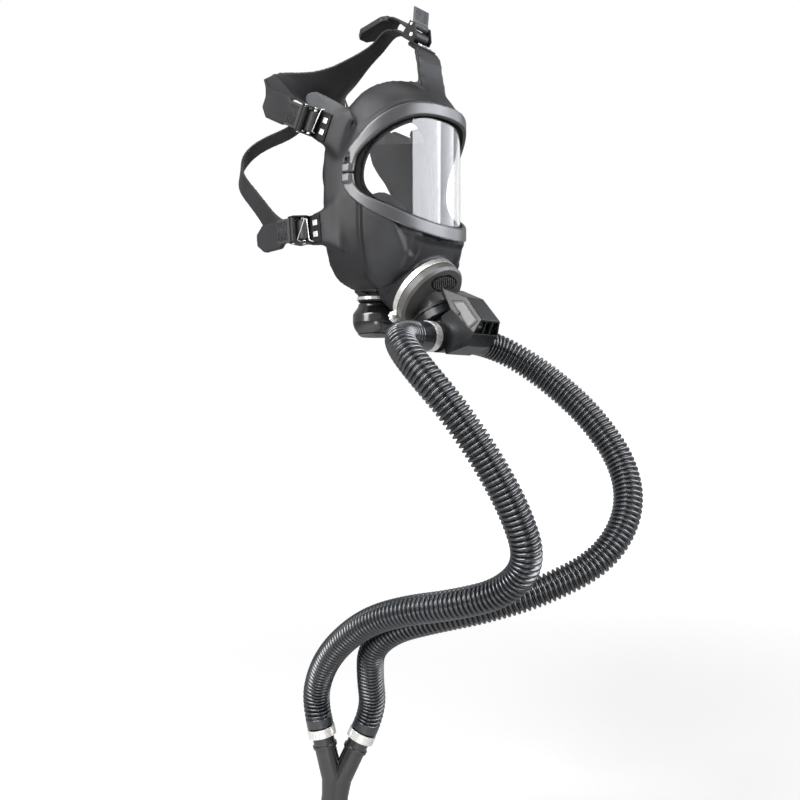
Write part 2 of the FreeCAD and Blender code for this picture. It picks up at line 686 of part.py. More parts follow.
chamber_points = [seat_near, seat_far, along_spigot(79.1, 25.9), along_spigot(73.1, 1.7), along_spigot(39.4, 15)]
chamber_half = size("chamber_half_width")
chamber_wall = 2.5
tee_radius = size("tee_radius")
tee_half = size("tee_half_length")
port_end = tee_half + size("port_length")
port_tubes = [tube(size("port_radius"), 0, 0, port_end, tee_centre, X_AXIS * side) for side in (-1, 1)]
tee_body = tube(tee_radius, 0, -tee_half, tee_half, tee_centre, X_AXIS)
union_neck = tube(size("neck_radius"), 0, seal_end, tee_depth, connector_centre, spigot_axis)
union_flange = tube(size("spigot_radius") - 0.5, 0, seal_end, flange_end, connector_centre, spigot_axis)
chamber = side_prism(chamber_points, chamber_half)
manifold = tee_body.fuse(port_tubes + [union_neck, union_flange, chamber])
chamber_hollow = prism_x(inset_profile(chamber_points, chamber_wall), chamber_half - chamber_wall)
valve_radius = 10
manifold = manifold.cut([
    chamber_hollow,
    tube(spigot_bore, 0, seal_end - 1, tee_depth, connector_centre, spigot_axis),
    tube(size("tee_bore"), 0, -tee_half + 3, tee_half - 3, tee_centre, X_AXIS),
    tube(size("port_bore"), 0, -port_end - 1, port_end + 1, tee_centre, X_AXIS),
    tube(valve_radius, 0, -chamber_wall - 0.2, 1, seat_centre, seat_normal)])
keep("manifold", manifold)

hood_back = along_spigot(15, 27.7)
hood_ridge = Vector(0, -148, -104)
hood_lip = Vector(0, -166, -126)
hood_points = [hood_back, hood_ridge, hood_lip, seat_far, seat_near]
hood_height = 15.5
top_half = size("hood_top_half_width")
base_half = size("hood_base_half_width")


def hood_taper(inset):
    """Prism along the hood whose cross-section narrows from the base to the roof."""
    slant = (base_half - top_half) / hood_height
    reach = 30
    corners = [(base_half - inset, 0), (base_half - inset - slant * reach, reach)]
    corners = corners + [(-across, up) for across, up in reversed(corners)]
    start = seat_centre - seat_slope * 80
    points = [start + X_AXIS * across + seat_normal * up for across, up in corners]
    return Part.Face(Part.makePolygon(points + points[:1])).extrude(seat_slope * 160)


hood_wall = size("hood_wall")
roof_drop = Vector(0, hood_ridge.z - hood_lip.z, hood_lip.y - hood_ridge.y).normalize() * hood_wall
hood_inner = [hood_back + (seat_near - hood_back).normalize() * 2.5 + spigot_front * hood_wall,
              hood_ridge + Vector(0, 0.9, -hood_wall * 1.15), hood_lip + roof_drop + (hood_lip - hood_ridge) * 0.3,
              seat_far + (seat_far - seat_near) * 0.3 - seat_normal * 0.5, seat_near - seat_normal * 0.5
              + seat_slope * hood_wall]
hood = side_prism(hood_points, base_half).common(hood_taper(0))
hood_hollow = side_prism(hood_inner, base_half).common(hood_taper(hood_wall))
ribs = []
for side in (-1, 1):
    rib = Part.makeBox(size("hood_rib"), 60, 60, Vector(side * 5.5 - size("hood_rib") / 2, -175, -150))
    lip_side = side_prism([hood_lip, seat_far, seat_far - seat_slope * 3, hood_lip - seat_slope * 4.5], base_half)
    ribs.append(rib.common(lip_side).common(hood))
spring_boss = tube(3.2, 0, 11.5, 14.5, seat_centre, seat_normal).common(hood)
hood = hood.cut(hood_hollow).fuse(ribs + [spring_boss])
fixing = []
for side in (-1, 1):
    level = seat_near + seat_slope * 9 + seat_normal * 3.2
    flare = Part.makeCylinder(2.3, 1.4, Vector(side * (base_half - 1.1), level.y, level.z), X_AXIS * side)
    fixing.append(Part.makeCylinder(1.2, 3.2, Vector(side * (base_half - 4.2), level.y, level.z),
                                    X_AXIS * side).fuse(flare))
fixing_body = Part.makeCompound(fixing)
hood = hood.cut(fixing_body)
keep("exhaust_hood", hood)
keep("hood_screws", fixing_body)
keep("relief_valve_seat", spoked_ring(valve_radius, valve_radius - 2.4, -chamber_wall, 1.2, seat_centre,
                                      seat_normal, 1.8))
keep("relief_valve_disc", tube(valve_radius - 1, 0, 1.25, 2.6, seat_centre, seat_normal))


# ---------------------------------------------------------------- outlet valve under the chin
chin_place = FreeCAD.Placement(chin_centre, FreeCAD.Rotation())
bowl_end = "(-chin_sleeve_bottom-chin_bowl_depth+0.5)"
shoulder = "(-chin_sleeve_bottom-3.5)"
revolved("chin_valve_housing", [
    ("chin_plug_radius", "-chin_sleeve_top-1"), ("chin_plug_radius", "-chin_sleeve_bottom-0.3"),
    ("chin_sleeve_radius", "-chin_sleeve_bottom-0.3"), ("chin_sleeve_radius", shoulder),
    ("chin_bowl_radius", shoulder + "-7.5"), ("chin_bowl_radius", bowl_end + "+5.5"),
    ("chin_bowl_radius-5", bowl_end), ("chin_bowl_radius-5-chin_bowl_wall", bowl_end),
    ("chin_bowl_radius-chin_bowl_wall", bowl_end + "+6.3"),
    ("chin_bowl_radius-chin_bowl_wall", shoulder + "-8.3"),
    ("chin_plug_radius-chin_bowl_wall", shoulder + "+1.2"),
    ("chin_plug_radius-chin_bowl_wall", "-chin_sleeve_top-1")], chin_place)
revolved("chin_valve_ring", [
    ("chin_sleeve_radius", "-chin_sleeve_bottom+3"), ("chin_sleeve_radius+1.2", "-chin_sleeve_bottom+3"),
    ("chin_sleeve_radius+1.2", "-chin_sleeve_bottom+6"), ("chin_sleeve_radius", "-chin_sleeve_bottom+6")],
    chin_place)
cover = revolved("chin_valve_cover", [
    ("0", bowl_end), ("chin_bowl_radius-5", bowl_end), ("chin_bowl_radius-8.5", bowl_end + "-2.5"),
    ("0", bowl_end + "-2.5")], chin_place)
for name, middle, half in (("front_slot", -7, 9), ("middle_slot", 0, 11.5), ("rear_slot", 7, 9)):
    pocketed(cover, name, "XY_Plane", [(-half, middle - 1.5), (half, middle - 1.5), (half, middle + 1.5),
                                       (-half, middle + 1.5)], "2*chin_sleeve_bottom+2*chin_bowl_depth+20")
seat_level = size("chin_sleeve_bottom") + 13
bowl_bore = size("chin_bowl_radius") - size("chin_bowl_wall")
keep("chin_valve_seat", spoked_ring(bowl_bore, bowl_bore - 5.5, seat_level, seat_level + 2, chin_centre, -Z_AXIS,
                                    2.4, 4))
revolved("chin_valve_disc", [
    ("0", "-chin_sleeve_bottom-15.1"), ("chin_bowl_radius-chin_bowl_wall-3.3", "-chin_sleeve_bottom-15.1"),
    ("chin_bowl_radius-chin_bowl_wall-3.3", "-chin_sleeve_bottom-16"), ("4", "-chin_sleeve_bottom-16.6"),
    ("0", "-chin_sleeve_bottom-16.6")], chin_place)


# ---------------------------------------------------------------- nose cup
def oval(centre, upward, half_width, half_height, narrowing):
    """Closed egg-shaped curve, across the face and along the upward direction."""
    points = []
    steps = 24
    for step in range(steps):
        turn = 2 * math.pi * step / steps
        across = half_width * math.cos(turn) * (1 - narrowing * math.sin(turn))
        points.append(Vector(centre) + X_AXIS * across + Vector(upward).normalize() * (half_height * math.sin(turn)))
    curve = Part.BSplineCurve()
    curve.interpolate(points, PeriodicFlag=True)
    return Part.Wire([curve.toShape()])


cup_mouth = connector_centre - connector_axis * (size("sleeve_length") - 2)
mouth_offset = connector_up * 11


def cup_form(inset, overrun):
    """Outer form of the nose cup from the drum to the rim on the face, or its hollow."""
    up = tuple(connector_up)
    start = cup_mouth + mouth_offset
    rings = [oval(start + connector_axis * overrun, up, 23 - inset, 17 - inset, 0),
             oval(start - connector_axis * 4, up, 24 - inset, 17.5 - inset, 0),
             oval((0, -60, -57), (0, -0.35, 0.94), 32 - inset, 29 - inset, 0.06),
             oval((0, -47, -40), (0, -0.1, 0.99), 34 - inset, 38 - inset, 0.16),
             oval((0, -38 + overrun, -32), (0, 0, 1), 35 - inset, 42 - inset, 0.22)]
    return Part.makeLoft(rings, True, False)


cup_wall = size("cup_wall")
cup_valve = size("cup_valve_radius")
cup_plate = tube(size("drum_radius") - wall, 0, -size("sleeve_length"), -size("sleeve_length") + 2,
                 connector_centre, connector_axis)
cup_sides = []
for side in (-1, 1):
    spot = Vector(side * 19.5, -66.5, -31)
    outwards = Vector(side * 0.5, -0.45, 0.74).normalize()
    cup_sides.append((side, spot, outwards))
cup = cup_form(0, 0).fuse([cup_plate] + [tube(cup_valve + 1.5, 0, -3.5, 1.5, spot, outwards)
                                         for _, spot, outwards in cup_sides])
cup = cup.cut([cup_form(cup_wall, 2.5).cut(Part.makeCompound(
    [tube(cup_valve + 1.5, 0, -3.5, 1.5, spot, outwards) for _, spot, outwards in cup_sides]))]
    + [tube(cup_valve, 0, -8, 6, spot, outwards) for _, spot, outwards in cup_sides])
keep("nose_cup", cup)
keep("nose_cup_valve_seats", Part.makeCompound([
    spoked_ring(cup_valve, cup_valve - 2.2, -0.5, 1.5, spot, outwards, 1.4) for _, spot, outwards in cup_sides]))
for side, spot, outwards in cup_sides:
    label = "nose_cup_valve_left" if side > 0 else "nose_cup_valve_right"
    keep(label, tube(cup_valve - 0.8, 0, -1.4, -0.6, spot, outwards))


# ---------------------------------------------------------------- harness plate
PLATE_STATIONS = [
    # middle of the section (y, z), half width, how far its ends lie back and up
    (-56, 166.5, 10, 0, 0), (-33, 160, 10.5, 0, 0), (-18, 152.5, 13, 0, 0), (-2, 145, 18, 1, 1),
    (12, 137, 25, 4, 3), (27, 128, 40, 16, 9), (38, 120, 54.6, 24.8, 16), (48, 108, 41, -2, 1),
]
plate_normals = [(0.12, 1), (0.3, 0.95), (0.42, 0.9), (0.45, 0.89), (0.48, 0.87), (0.5, 0.86), (0.62, 0.78),
                 (0.77, 0.64)]
strap_wall = size("strap_wall")


def curved_sheet(stations, normals, wall):
    """Thin curved sheet between two smooth skins, each section bowed back and up towards its ends."""
    skins = []
    for side in (1, -1):
        grid = []
        for (middle_y, middle_z, half, back, rise), (normal_y, normal_z) in zip(stations, normals):
            out = Vector(0, normal_y, normal_z).normalize() * (side * wall / 2)
            grid.append([Vector(half * share, middle_y + back * share * share, middle_z + rise * share * share) + out
                         for share in (-1, -0.5, 0, 0.5, 1)])
        surface = Part.BSplineSurface()
        surface.interpolate(grid)
        skins.append(surface.toShape())
    rims = [Part.makeRuledSurface(outer_edge, inner_edge)
            for outer_edge, inner_edge in zip(skins[0].OuterWire.Edges, skins[1].OuterWire.Edges)]
    shell = Part.Shell([face for skin in skins + rims for face in skin.Faces])
    shell.sewShape()
    solid = Part.Solid(shell)
    if solid.Volume < 0:
        solid.reverse()
    return solid


plate_shape = curved_sheet(PLATE_STATIONS, plate_normals, strap_wall)
keep("head_plate", plate_shape)


# ---------------------------------------------------------------- buckles, levers and straps
def cut_by_plate(strap):
    """End the strap on the harness plate and keep its one piece."""
    pieces = strap.cut(plate_shape).Solids
    return max(pieces, key=lambda piece: piece.Volume)


bar_along = 3.5
lever_along = 9
base_along = -13
BUCKLE_SIDE = [(base_along, 0), (14, 0), (14, 7), (12.5, 17.5), (5.5, 17.5), (-2.5, 8), (-2.5, "buckle_gauge"),
               (base_along, "buckle_gauge")]
THUMB_TILT = 12


def strap_profile(tail):
    """Side outline of a strap that runs in under the roller bar, round it and back along the tail."""
    height = size("buckle_bar_height")
    inner = height - size("buckle_bar_radius") - 0.4
    outer = size("buckle_bar_radius") + 0.4 + strap_wall
    back = math.pi / 2
    points_out = [(bar_along + outer * math.cos(back + math.pi * step / 12),
                   height + outer * math.sin(back + math.pi * step / 12)) for step in range(13)]
    points_in = [(bar_along + (outer - strap_wall) * math.cos(3 * back - math.pi * step / 12),
                  height + (outer - strap_wall) * math.sin(3 * back - math.pi * step / 12)) for step in range(13)]
    tail_top = [(along, up + strap_wall / 2) for along, up in tail]
    tail_under = [(along, up - strap_wall / 2) for along, up in tail]
    return (list(reversed(tail_top)) + points_out + [(STRAP_START, inner - strap_wall), (STRAP_START, inner)]
            + points_in + tail_under)


STRAP_START = 22


def strap_loop(place, tail):
    """Strap in its buckle, from the inner run to the end of the tail, as one prism."""
    corners = [Vector(along, 0, up) for along, up in strap_profile(tail)]
    face = Part.Face(Part.makePolygon(corners + corners[:1]))
    half = size("strap_width") / 2
    face.translate(Vector(0, -half, 0))
    return face.extrude(Vector(0, 2 * half, 0)).transformGeometry(place.Matrix)


def pull_tab(place, start, end):
    """Thick pull tab with pointed ends, moulded on the strap's tail between two points of its side view."""
    wall_half = size("pull_tab_wall") / 2
    half = size("pull_tab_width") / 2
    length = math.hypot(end[0] - start[0], end[1] - start[1])
    corners = [(0, -half + 5), (6, -half), (length - 9, -half), (length, -half + 8), (length, half - 8),
               (length - 9, half), (6, half), (0, half - 5)]
    face = Part.Face(Part.makePolygon([Vector(across, side, -wall_half) for across, side in
                                       corners + corners[:1]]))
    tab = face.extrude(Vector(0, 0, 2 * wall_half))
    lean = math.degrees(math.atan2(end[1] - start[1], end[0] - start[0]))
    local = FreeCAD.Placement(Vector(start[0], 0, start[1]), FreeCAD.Rotation(Y_AXIS, -lean))
    return tab.transformGeometry(place.multiply(local).Matrix)


def buckle_parts(name, place, rest_turn=0):
    """Bent steel buckle frame and its clamping lever, bound to the sheet."""
    frame = padded("buckle_frame_" + name, "XZ_Plane", BUCKLE_SIDE, "2*buckle_half_width", place)
    pocketed(frame, "buckle_gap_" + name, "XZ_Plane",
             [(base_along - 1, "buckle_gauge"), (20, "buckle_gauge"), (20, 20), (base_along - 1, 20)],
             "2*buckle_half_width-2*buckle_gauge")
    drilled(frame, "bar_hole_" + name, "XZ_Plane", (bar_along, "buckle_bar_height"), "buckle_bar_radius",
            "2*buckle_half_width+4")
    drilled(frame, "pin_hole_" + name, "XZ_Plane", (lever_along, "lever_pin_height"), "lever_pin_radius",
            "2*buckle_half_width+4")
    for mark, side in (("a", 5.5), ("b", -5.5)):
        drilled(frame, "rivet_hole_" + mark + "_" + name, "XY_Plane", (-8, side), 1.4, 10)
    hinge = place.multiply(FreeCAD.Placement(Vector(lever_along, 0, size("lever_pin_height")),
                                             FreeCAD.Rotation(Y_AXIS, -THUMB_TILT - rest_turn)))
    corners = [("lever_reach", -0.7 + 1), ("lever_reach", 0.7 + 1)]
    for step in range(1, 12):
        angle = 30 * step
        corners.append(("lever_hub_radius*cos(%d)" % angle, "lever_hub_radius*sin(%d)" % angle))
    corners[2] = ("lever_hub_radius*cos(30)", 0.7 + 1)
    corners[-1] = ("lever_hub_radius*cos(330)", -0.7 + 1)
    lever = padded("buckle_lever_" + name, "XZ_Plane", corners, "2*buckle_half_width-2*buckle_gauge-0.6", hinge)
    drilled(lever, "pin_bore_" + name, "XZ_Plane", (0, 0), "lever_pin_radius+running_gap",
            "2*buckle_half_width+4")


def rod_between(place, along, height, radius, half_length):
    """Steel rod across a buckle."""
    start = place.multVec(Vector(along, -half_length, height))
    return Part.makeCylinder(radius, 2 * half_length, start, place.Rotation.multVec(Y_AXIS))


def rivet_pair(place):
    """Two square-headed rivets that hold a buckle's base plate to its lug."""
    gauge = size("buckle_gauge")
    pieces = []
    for side in (-5.5, 5.5):
        head = Part.makeBox(5.4, 5.4, 1.6, Vector(-8 - 2.7, side - 2.7, gauge))
        shank = Part.makeCylinder(1.4, gauge + 2.6, Vector(-8, side, -2.6))
        pieces.append(head.fuse(shank).transformGeometry(place.Matrix))
    return pieces


def opposite(place):
    """Frame of the same buckle on the wearer's left."""
    along = place.Rotation.multVec(X_AXIS)
    outward = place.Rotation.multVec(Z_AXIS)
    base = place.Base
    return buckle_place((-base.x, base.y, base.z), (-along.x, along.y, along.z), (-outward.x, outward.y, outward.z))


CROWN_LEVER_LIFT = 48
PLACES = [("temple_right", temple_place, 0), ("temple_left", opposite(temple_place), 0),
          ("neck_right", neck_place, 0), ("neck_left", opposite(neck_place), 0),
          ("crown", crown_place, CROWN_LEVER_LIFT)]
rivets = []
bars = []
pins = []
cheek_span = size("buckle_half_width")
for name, place, lift in PLACES:
    buckle_parts(name, place, lift)
    rivets += rivet_pair(place)
    bars.append(rod_between(place, bar_along, size("buckle_bar_height"), size("buckle_bar_radius"), cheek_span + 0.6))
    pins.append(rod_between(place, lever_along, size("lever_pin_height"), size("lever_pin_radius"),
                            cheek_span + 0.6))
rivet_body = Part.makeCompound(rivets)
keep("buckle_rivets", rivet_body)
keep("face_blank", blank_shape.cut(rivet_body))
keep("buckle_bars", Part.makeCompound(bars))
keep("buckle_pins", Part.makeCompound(pins))


def strap_run(sections):
    """Strap between buckle and plate; each section is (centre, upward half-width vector, outward normal)."""
    wires = []
    for centre, upward, normal in sections:
        middle = Vector(centre)
        up = Vector(upward)
        out = Vector(normal).normalize() * (strap_wall / 2)
        corners = [middle + up + out, middle - up + out, middle - up - out, middle + up - out]
        wires.append(Part.makePolygon(corners + corners[:1]))
    return Part.makeLoft(wires, True, True)


def level_strap(path, width, wall):
    """Strap that bends only in the plane of symmetry, as one prism; path holds (y, z) points."""
    centres = [Vector(0, y, z) for y, z in path]
    above = []
    below = []
    for index, centre in enumerate(centres):
        ahead = centres[min(index + 1, len(centres) - 1)]
        behind = centres[max(index - 1, 0)]
        out = X_AXIS.cross((ahead - behind).normalize()) * (wall / 2)
        shift = X_AXIS * (width / 2)
        above.append(centre + out - shift)
        below.append(centre - out - shift)
    corners = above + below[::-1]
    return Part.Face(Part.makePolygon(corners + corners[:1])).extrude(X_AXIS * width)


def buckle_end(place, flip):
    """First section of a strap run, on the end face of the buckle's loop."""
    level = size("buckle_bar_height") - size("buckle_bar_radius") - 0.4 - strap_wall / 2
    centre = place.multVec(Vector(STRAP_START, 0, level))
    upward = place.Rotation.multVec(Y_AXIS) * (flip * size("strap_width") / 2)
    return (tuple(centre), tuple(upward), tuple(place.Rotation.multVec(Z_AXIS)))


temple_run = strap_run([
    buckle_end(temple_place, -1), ((-87.8, 9, 79.5), (0, -4.2, 9.1), (-1, 0, 0)),
    ((-85.5, 30, 91), (0, -3.5, 9.6), (-0.97, 0.2, 0)), ((-76, 53, 106), (0.5, 0, 10.5), (-0.8, 0.6, 0)),
    ((-64, 62, 117), (-2, 4.5, 11.5), (-0.5, 0.8, -0.2)), ((-47.6, 53.8, 122.5), (-7, 9, 13.5), (-0.28, 0.73, -0.63))])
temple_tail = [(26, 10), (46, 10.5), (58, 9.6)]
temple_strap = cut_by_plate(strap_loop(temple_place, [(STRAP_START - 2, 10)] + temple_tail).fuse(
    [temple_run, pull_tab(temple_place, (31, 10.1), (70, 8.9))]).removeSplitter())
keep("temple_strap_right", temple_strap)
keep("temple_strap_left", mirrored(temple_strap))

neck_stations = [((-86, 22, -33), (-1, 0.06, 0)), ((-84, 48, -14), (-0.97, 0.25, 0)),
                 ((-80, 72, 8), (-0.93, 0.35, 0)), ((-76, 90, 28), (-0.85, 0.5, 0)), ((-66, 93, 50), (-0.6, 0.8, 0)),
                 ((-50, 78, 68), (-0.45, 0.85, 0.2)), ((-34, 60, 80), (-0.35, 0.85, 0.4)),
                 ((-25, 51, 93), (-0.25, 0.85, 0.45)), ((-22, 47, 108), (-0.1, 0.8, 0.6))]
neck_start = buckle_end(neck_place, -1)
neck_run = ribbon([(neck_start[0], neck_start[2])] + neck_stations, size("strap_width"), strap_wall)
neck_strap = cut_by_plate(strap_loop(neck_place, [(STRAP_START - 2, 10), (34, 9.8), (46, 9.4)]).fuse(
    [neck_run, pull_tab(neck_place, (25, 10), (62, 8.9))]).removeSplitter())
keep("neck_strap_right", neck_strap)
keep("neck_strap_left", mirrored(neck_strap))

crown_start = buckle_end(crown_place, 1)
crown_path = [(crown_start[0][1], crown_start[0][2]), (-62.5, 164.9), (-58.5, 166.8), PLATE_STATIONS[0][:2]]
crown_run = level_strap(crown_path, size("strap_width"), strap_wall)
crown_tail = [(STRAP_START - 2, 10), (30, 11.4), (38, 10.6), (46, 7.6), (54, 1.6), (60, -5.5), (64, -11)]
crown_strap = strap_loop(crown_place, crown_tail).fuse(
    [crown_run, pull_tab(crown_place, (44, 8.4), (72, -23))]).removeSplitter()
keep("crown_strap", crown_strap)


# ---------------------------------------------------------------- Y-piece and swivel nut
y_junction = Vector(1.5, 27.5, -597.7)
ACROSS_Y = Vector(0.616, -0.788, 0).normalize()
Y_LEAN = 6.1
lean = math.radians(Y_LEAN)
y_axis = ACROSS_Y * math.sin(lean) + Z_AXIS * math.cos(lean)
y_across = ACROSS_Y * math.cos(lean) - Z_AXIS * math.sin(lean)
lobe_offset = 4.5
spread = math.radians(size("y_spread"))
arm_length = size("y_arm_length")
arm_radius = size("y_arm_radius")
cuff_length = size("cuff_length")
lobe = size("y_tail_lobe")
stub_start = size("y_tail_length") - 14


def arm_frame(side):
    """Foot and direction of one arm of the Y-piece; -1 is the arm of the right hose."""
    foot = y_junction + y_across * (side * lobe_offset)
    direction = y_across * (side * math.sin(spread)) + y_axis * math.cos(spread)
    return foot, direction


def y_pieces(arm_round, collar_round, lobe_round, stub_round, overrun):
    """Outer forms of the Y-piece, or its bores when given the smaller radii."""
    pieces = []
    for side in (-1, 1):
        foot, direction = arm_frame(side)
        pieces.append(tube(arm_round, 0, 0, arm_length + overrun, foot, direction))
        if collar_round:
            pieces.append(tube(collar_round, 0, arm_length - cuff_length - 10, arm_length - cuff_length - 7,
                               foot, direction))
        pieces.append(Part.makeSphere(arm_round, foot))
        pieces.append(Part.makeCone(arm_round, lobe_round, 18, foot, -y_axis))
        pieces.append(tube(lobe_round, 0, 17, stub_start, foot, -y_axis))
    pieces.append(tube(stub_round, 0, stub_start - 1, size("y_tail_length") + overrun, y_junction, -y_axis))
    return pieces


stub_radius = 11
outer_y = y_pieces(arm_radius, arm_radius + 1.5, lobe, stub_radius, 0)
y_flange = tube(size("swivel_radius") - 3.4, 0, size("y_tail_length") - 3, size("y_tail_length"), y_junction, -y_axis)
y_cap = tube(stub_radius + 2.5, 0, stub_start - 3, stub_start, y_junction, -y_axis)
y_shape = outer_y[0].fuse(outer_y[1:] + [y_flange, y_cap])
keep("y_piece", y_shape.cut(y_pieces(arm_radius - 2, 0, lobe - 2, stub_radius - 2.2, 2)).removeSplitter())
down_place = axes(y_junction, y_across, -y_axis)
swivel_end = "(y_tail_length-12+swivel_length)"
swivel = revolved("swivel_nut", [
    (11 + size("running_gap"), "y_tail_length-12"), ("swivel_radius-1.5", "y_tail_length-12"),
    ("swivel_radius", "y_tail_length-10.5"), ("swivel_radius", swivel_end + "-1"),
    ("swivel_radius-1", swivel_end), ("swivel_radius-2.8", swivel_end), ("swivel_radius-2.8", "y_tail_length+1.6"),
    ("swivel_radius-3.4+running_gap", "y_tail_length+1.6"),
    ("swivel_radius-3.4+running_gap", "y_tail_length-3-running_gap"),
    (11 + size("running_gap"), "y_tail_length-3-running_gap")], down_place)
revolved("swivel_seal", [
    (8.8, "y_tail_length"), ("swivel_radius-3.9", "y_tail_length"), ("swivel_radius-3.9", "y_tail_length+1.5"),
    (8.8, "y_tail_length+1.5")], down_place)


# ---------------------------------------------------------------- breathing hoses and their clamps
def arm_point(side, reach):
    """Point on the axis of an arm, beyond its foot."""
    foot, direction = arm_frame(side)
    return foot + direction * reach


port_reach = tee_half + size("port_length")
right_port = tee_centre - X_AXIS * port_reach
left_port = tee_centre + X_AXIS * port_reach
RIGHT_ROUTE = [(-62, -117, -140.4), (-84, -123, -143), (-102, -140, -154), (-107, -163, -175), (-101, -190, -205),
               (-84, -214, -247), (-64, -231, -293), (-47, -237, -338), (-41, -206, -369), (-50, -158, -384),
               (-55, -110, -394), (-52, -66, -409), (-44, -28, -431), (-34, 6, -458), (-21, 33, -489)]
LEFT_ROUTE = [(62, -118, -142), (86, -137, -154), (102, -172, -180), (110, -214, -218), (111, -248, -264),
              (93, -262, -308), (64, -248, -350), (28, -205, -378), (2, -158, -396), (-16, -110, -409),
              (-21, -66, -424), (-12, -30, -450), (6, -14, -484)]


def tangent_path(points):
    """Straight runs joined by tangent arcs; also gives each arc's radius and the whole length."""
    edges = []
    radii = []
    length = 0
    start = points[0]
    for before, corner, after in zip(points, points[1:], points[2:]):
        back = (before - corner)
        ahead = (after - corner)
        run = min(back.Length, ahead.Length)
        back.normalize()
        ahead.normalize()
        turn = math.pi - back.getAngle(ahead)
        trim_length = 0.45 * run
        radius = trim_length / math.tan(turn / 2)
        enter = corner + back * trim_length
        leave = corner + ahead * trim_length
        inward = (back + ahead).normalize()
        centre = corner + inward * math.hypot(radius, trim_length)
        middle = centre - inward * radius
        edges.append(Part.LineSegment(start, enter).toShape())
        edges.append(Part.Arc(enter, middle, leave).toShape())
        length += (enter - start).Length + radius * turn
        radii.append(radius)
        start = leave
    edges.append(Part.LineSegment(start, points[-1]).toShape())
    length += (points[-1] - start).Length
    return Part.Wire(edges), radii, length


def swept_round(path, start, direction, radius):
    """Solid of a round section carried along a path."""
    section = Part.Wire([Part.makeCircle(radius, start, direction)])
    return path.makePipeShell([section], True, False)


def hose(label, route, side):
    """Corrugated hose as a plain tube of its outer size, with a smooth cuff over each fitting."""
    port = right_port if side < 0 else left_port
    points = [port] + [Vector(point) for point in route] + [arm_point(side, arm_length + 24), arm_point(side, arm_length)]
    path, radii, length = tangent_path(points)
    outer = size("hose_radius")
    bore = outer - 3
    outside = swept_round(path, port, X_AXIS * side, outer)
    inside = swept_round(path, port, X_AXIS * side, bore)
    wall_volume = outside.Volume - inside.Volume
    expected = math.pi * (outer * outer - bore * bore) * length
    print("%s length %.1f mm, bend radii %s, wall volume %.0f of %.0f" % (
        label, length, " ".join("%.0f" % radius for radius in radii), wall_volume, expected))
    _, direction = arm_frame(side)
    cuffs = [tube(size("cuff_radius"), size("port_radius"), port_reach - cuff_length, port_reach, tee_centre,
                  X_AXIS * side),
             tube(size("cuff_radius"), arm_radius, arm_length - cuff_length, arm_length, arm_frame(side)[0],
                  direction)]
    keep(label, outside.cut(inside).fuse(cuffs))


hose("hose_right", RIGHT_ROUTE, -1)
hose("hose_left", LEFT_ROUTE, 1)


def hose_clamp(label, centre, direction):
    """Spring-steel clamp round a cuff with a small closing ear."""
    frame = FreeCAD.Placement(centre, FreeCAD.Rotation(Z_AXIS, direction))
    clamp = revolved(label, [("cuff_radius", "-clamp_width/2"), ("cuff_radius+clamp_wall", "-clamp_width/2"),
                             ("cuff_radius+clamp_wall", "clamp_width/2"), ("cuff_radius", "clamp_width/2")], frame)
    return clamp


clamp_reach = port_reach - cuff_length / 2
hose_clamp("hose_clamp_port_right", tee_centre - X_AXIS * clamp_reach, X_AXIS)
hose_clamp("hose_clamp_port_left", tee_centre + X_AXIS * clamp_reach, X_AXIS)
for side, name in ((-1, "right"), (1, "left")):
    foot, direction = arm_frame(side)
    hose_clamp("hose_clamp_arm_" + name, foot + direction * (arm_length - cuff_length / 2), direction)


# ---------------------------------------------------------------- checks and export
document.recompute()
for item in document.Objects:
    if any(word in item.State for word in ("Invalid", "Error")):
        raise RuntimeError("%s did not recompute: %s" % (item.Name, item.State))
for label, holder in NODES.items():
    shape = holder.Shape
    if shape.isNull() or not shape.isValid() or not shape.Solids:
        raise RuntimeError("%s has no valid solid" % label)
os.makedirs("parts", exist_ok=True)
for label, holder in NODES.items():
    holder.Shape.exportStep("parts/%s.step" % label)
print("%d nodes written" % len(NODES))
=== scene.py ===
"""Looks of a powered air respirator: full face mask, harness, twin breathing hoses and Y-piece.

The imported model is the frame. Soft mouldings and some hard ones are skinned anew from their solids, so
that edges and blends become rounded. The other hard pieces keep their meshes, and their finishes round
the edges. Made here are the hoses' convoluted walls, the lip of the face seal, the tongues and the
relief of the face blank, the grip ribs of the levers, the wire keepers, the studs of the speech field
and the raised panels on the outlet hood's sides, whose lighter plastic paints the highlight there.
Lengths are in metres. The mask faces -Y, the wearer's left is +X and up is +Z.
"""
from __future__ import annotations

import json
import logging
import math
from dataclasses import dataclass, field
from enum import Enum
from functools import cache
from typing import Callable, Iterable, Mapping, Sequence, Union

import bmesh
import bpy
import numpy as np
from mathutils import Matrix, Vector
from mathutils.bvhtree import BVHTree

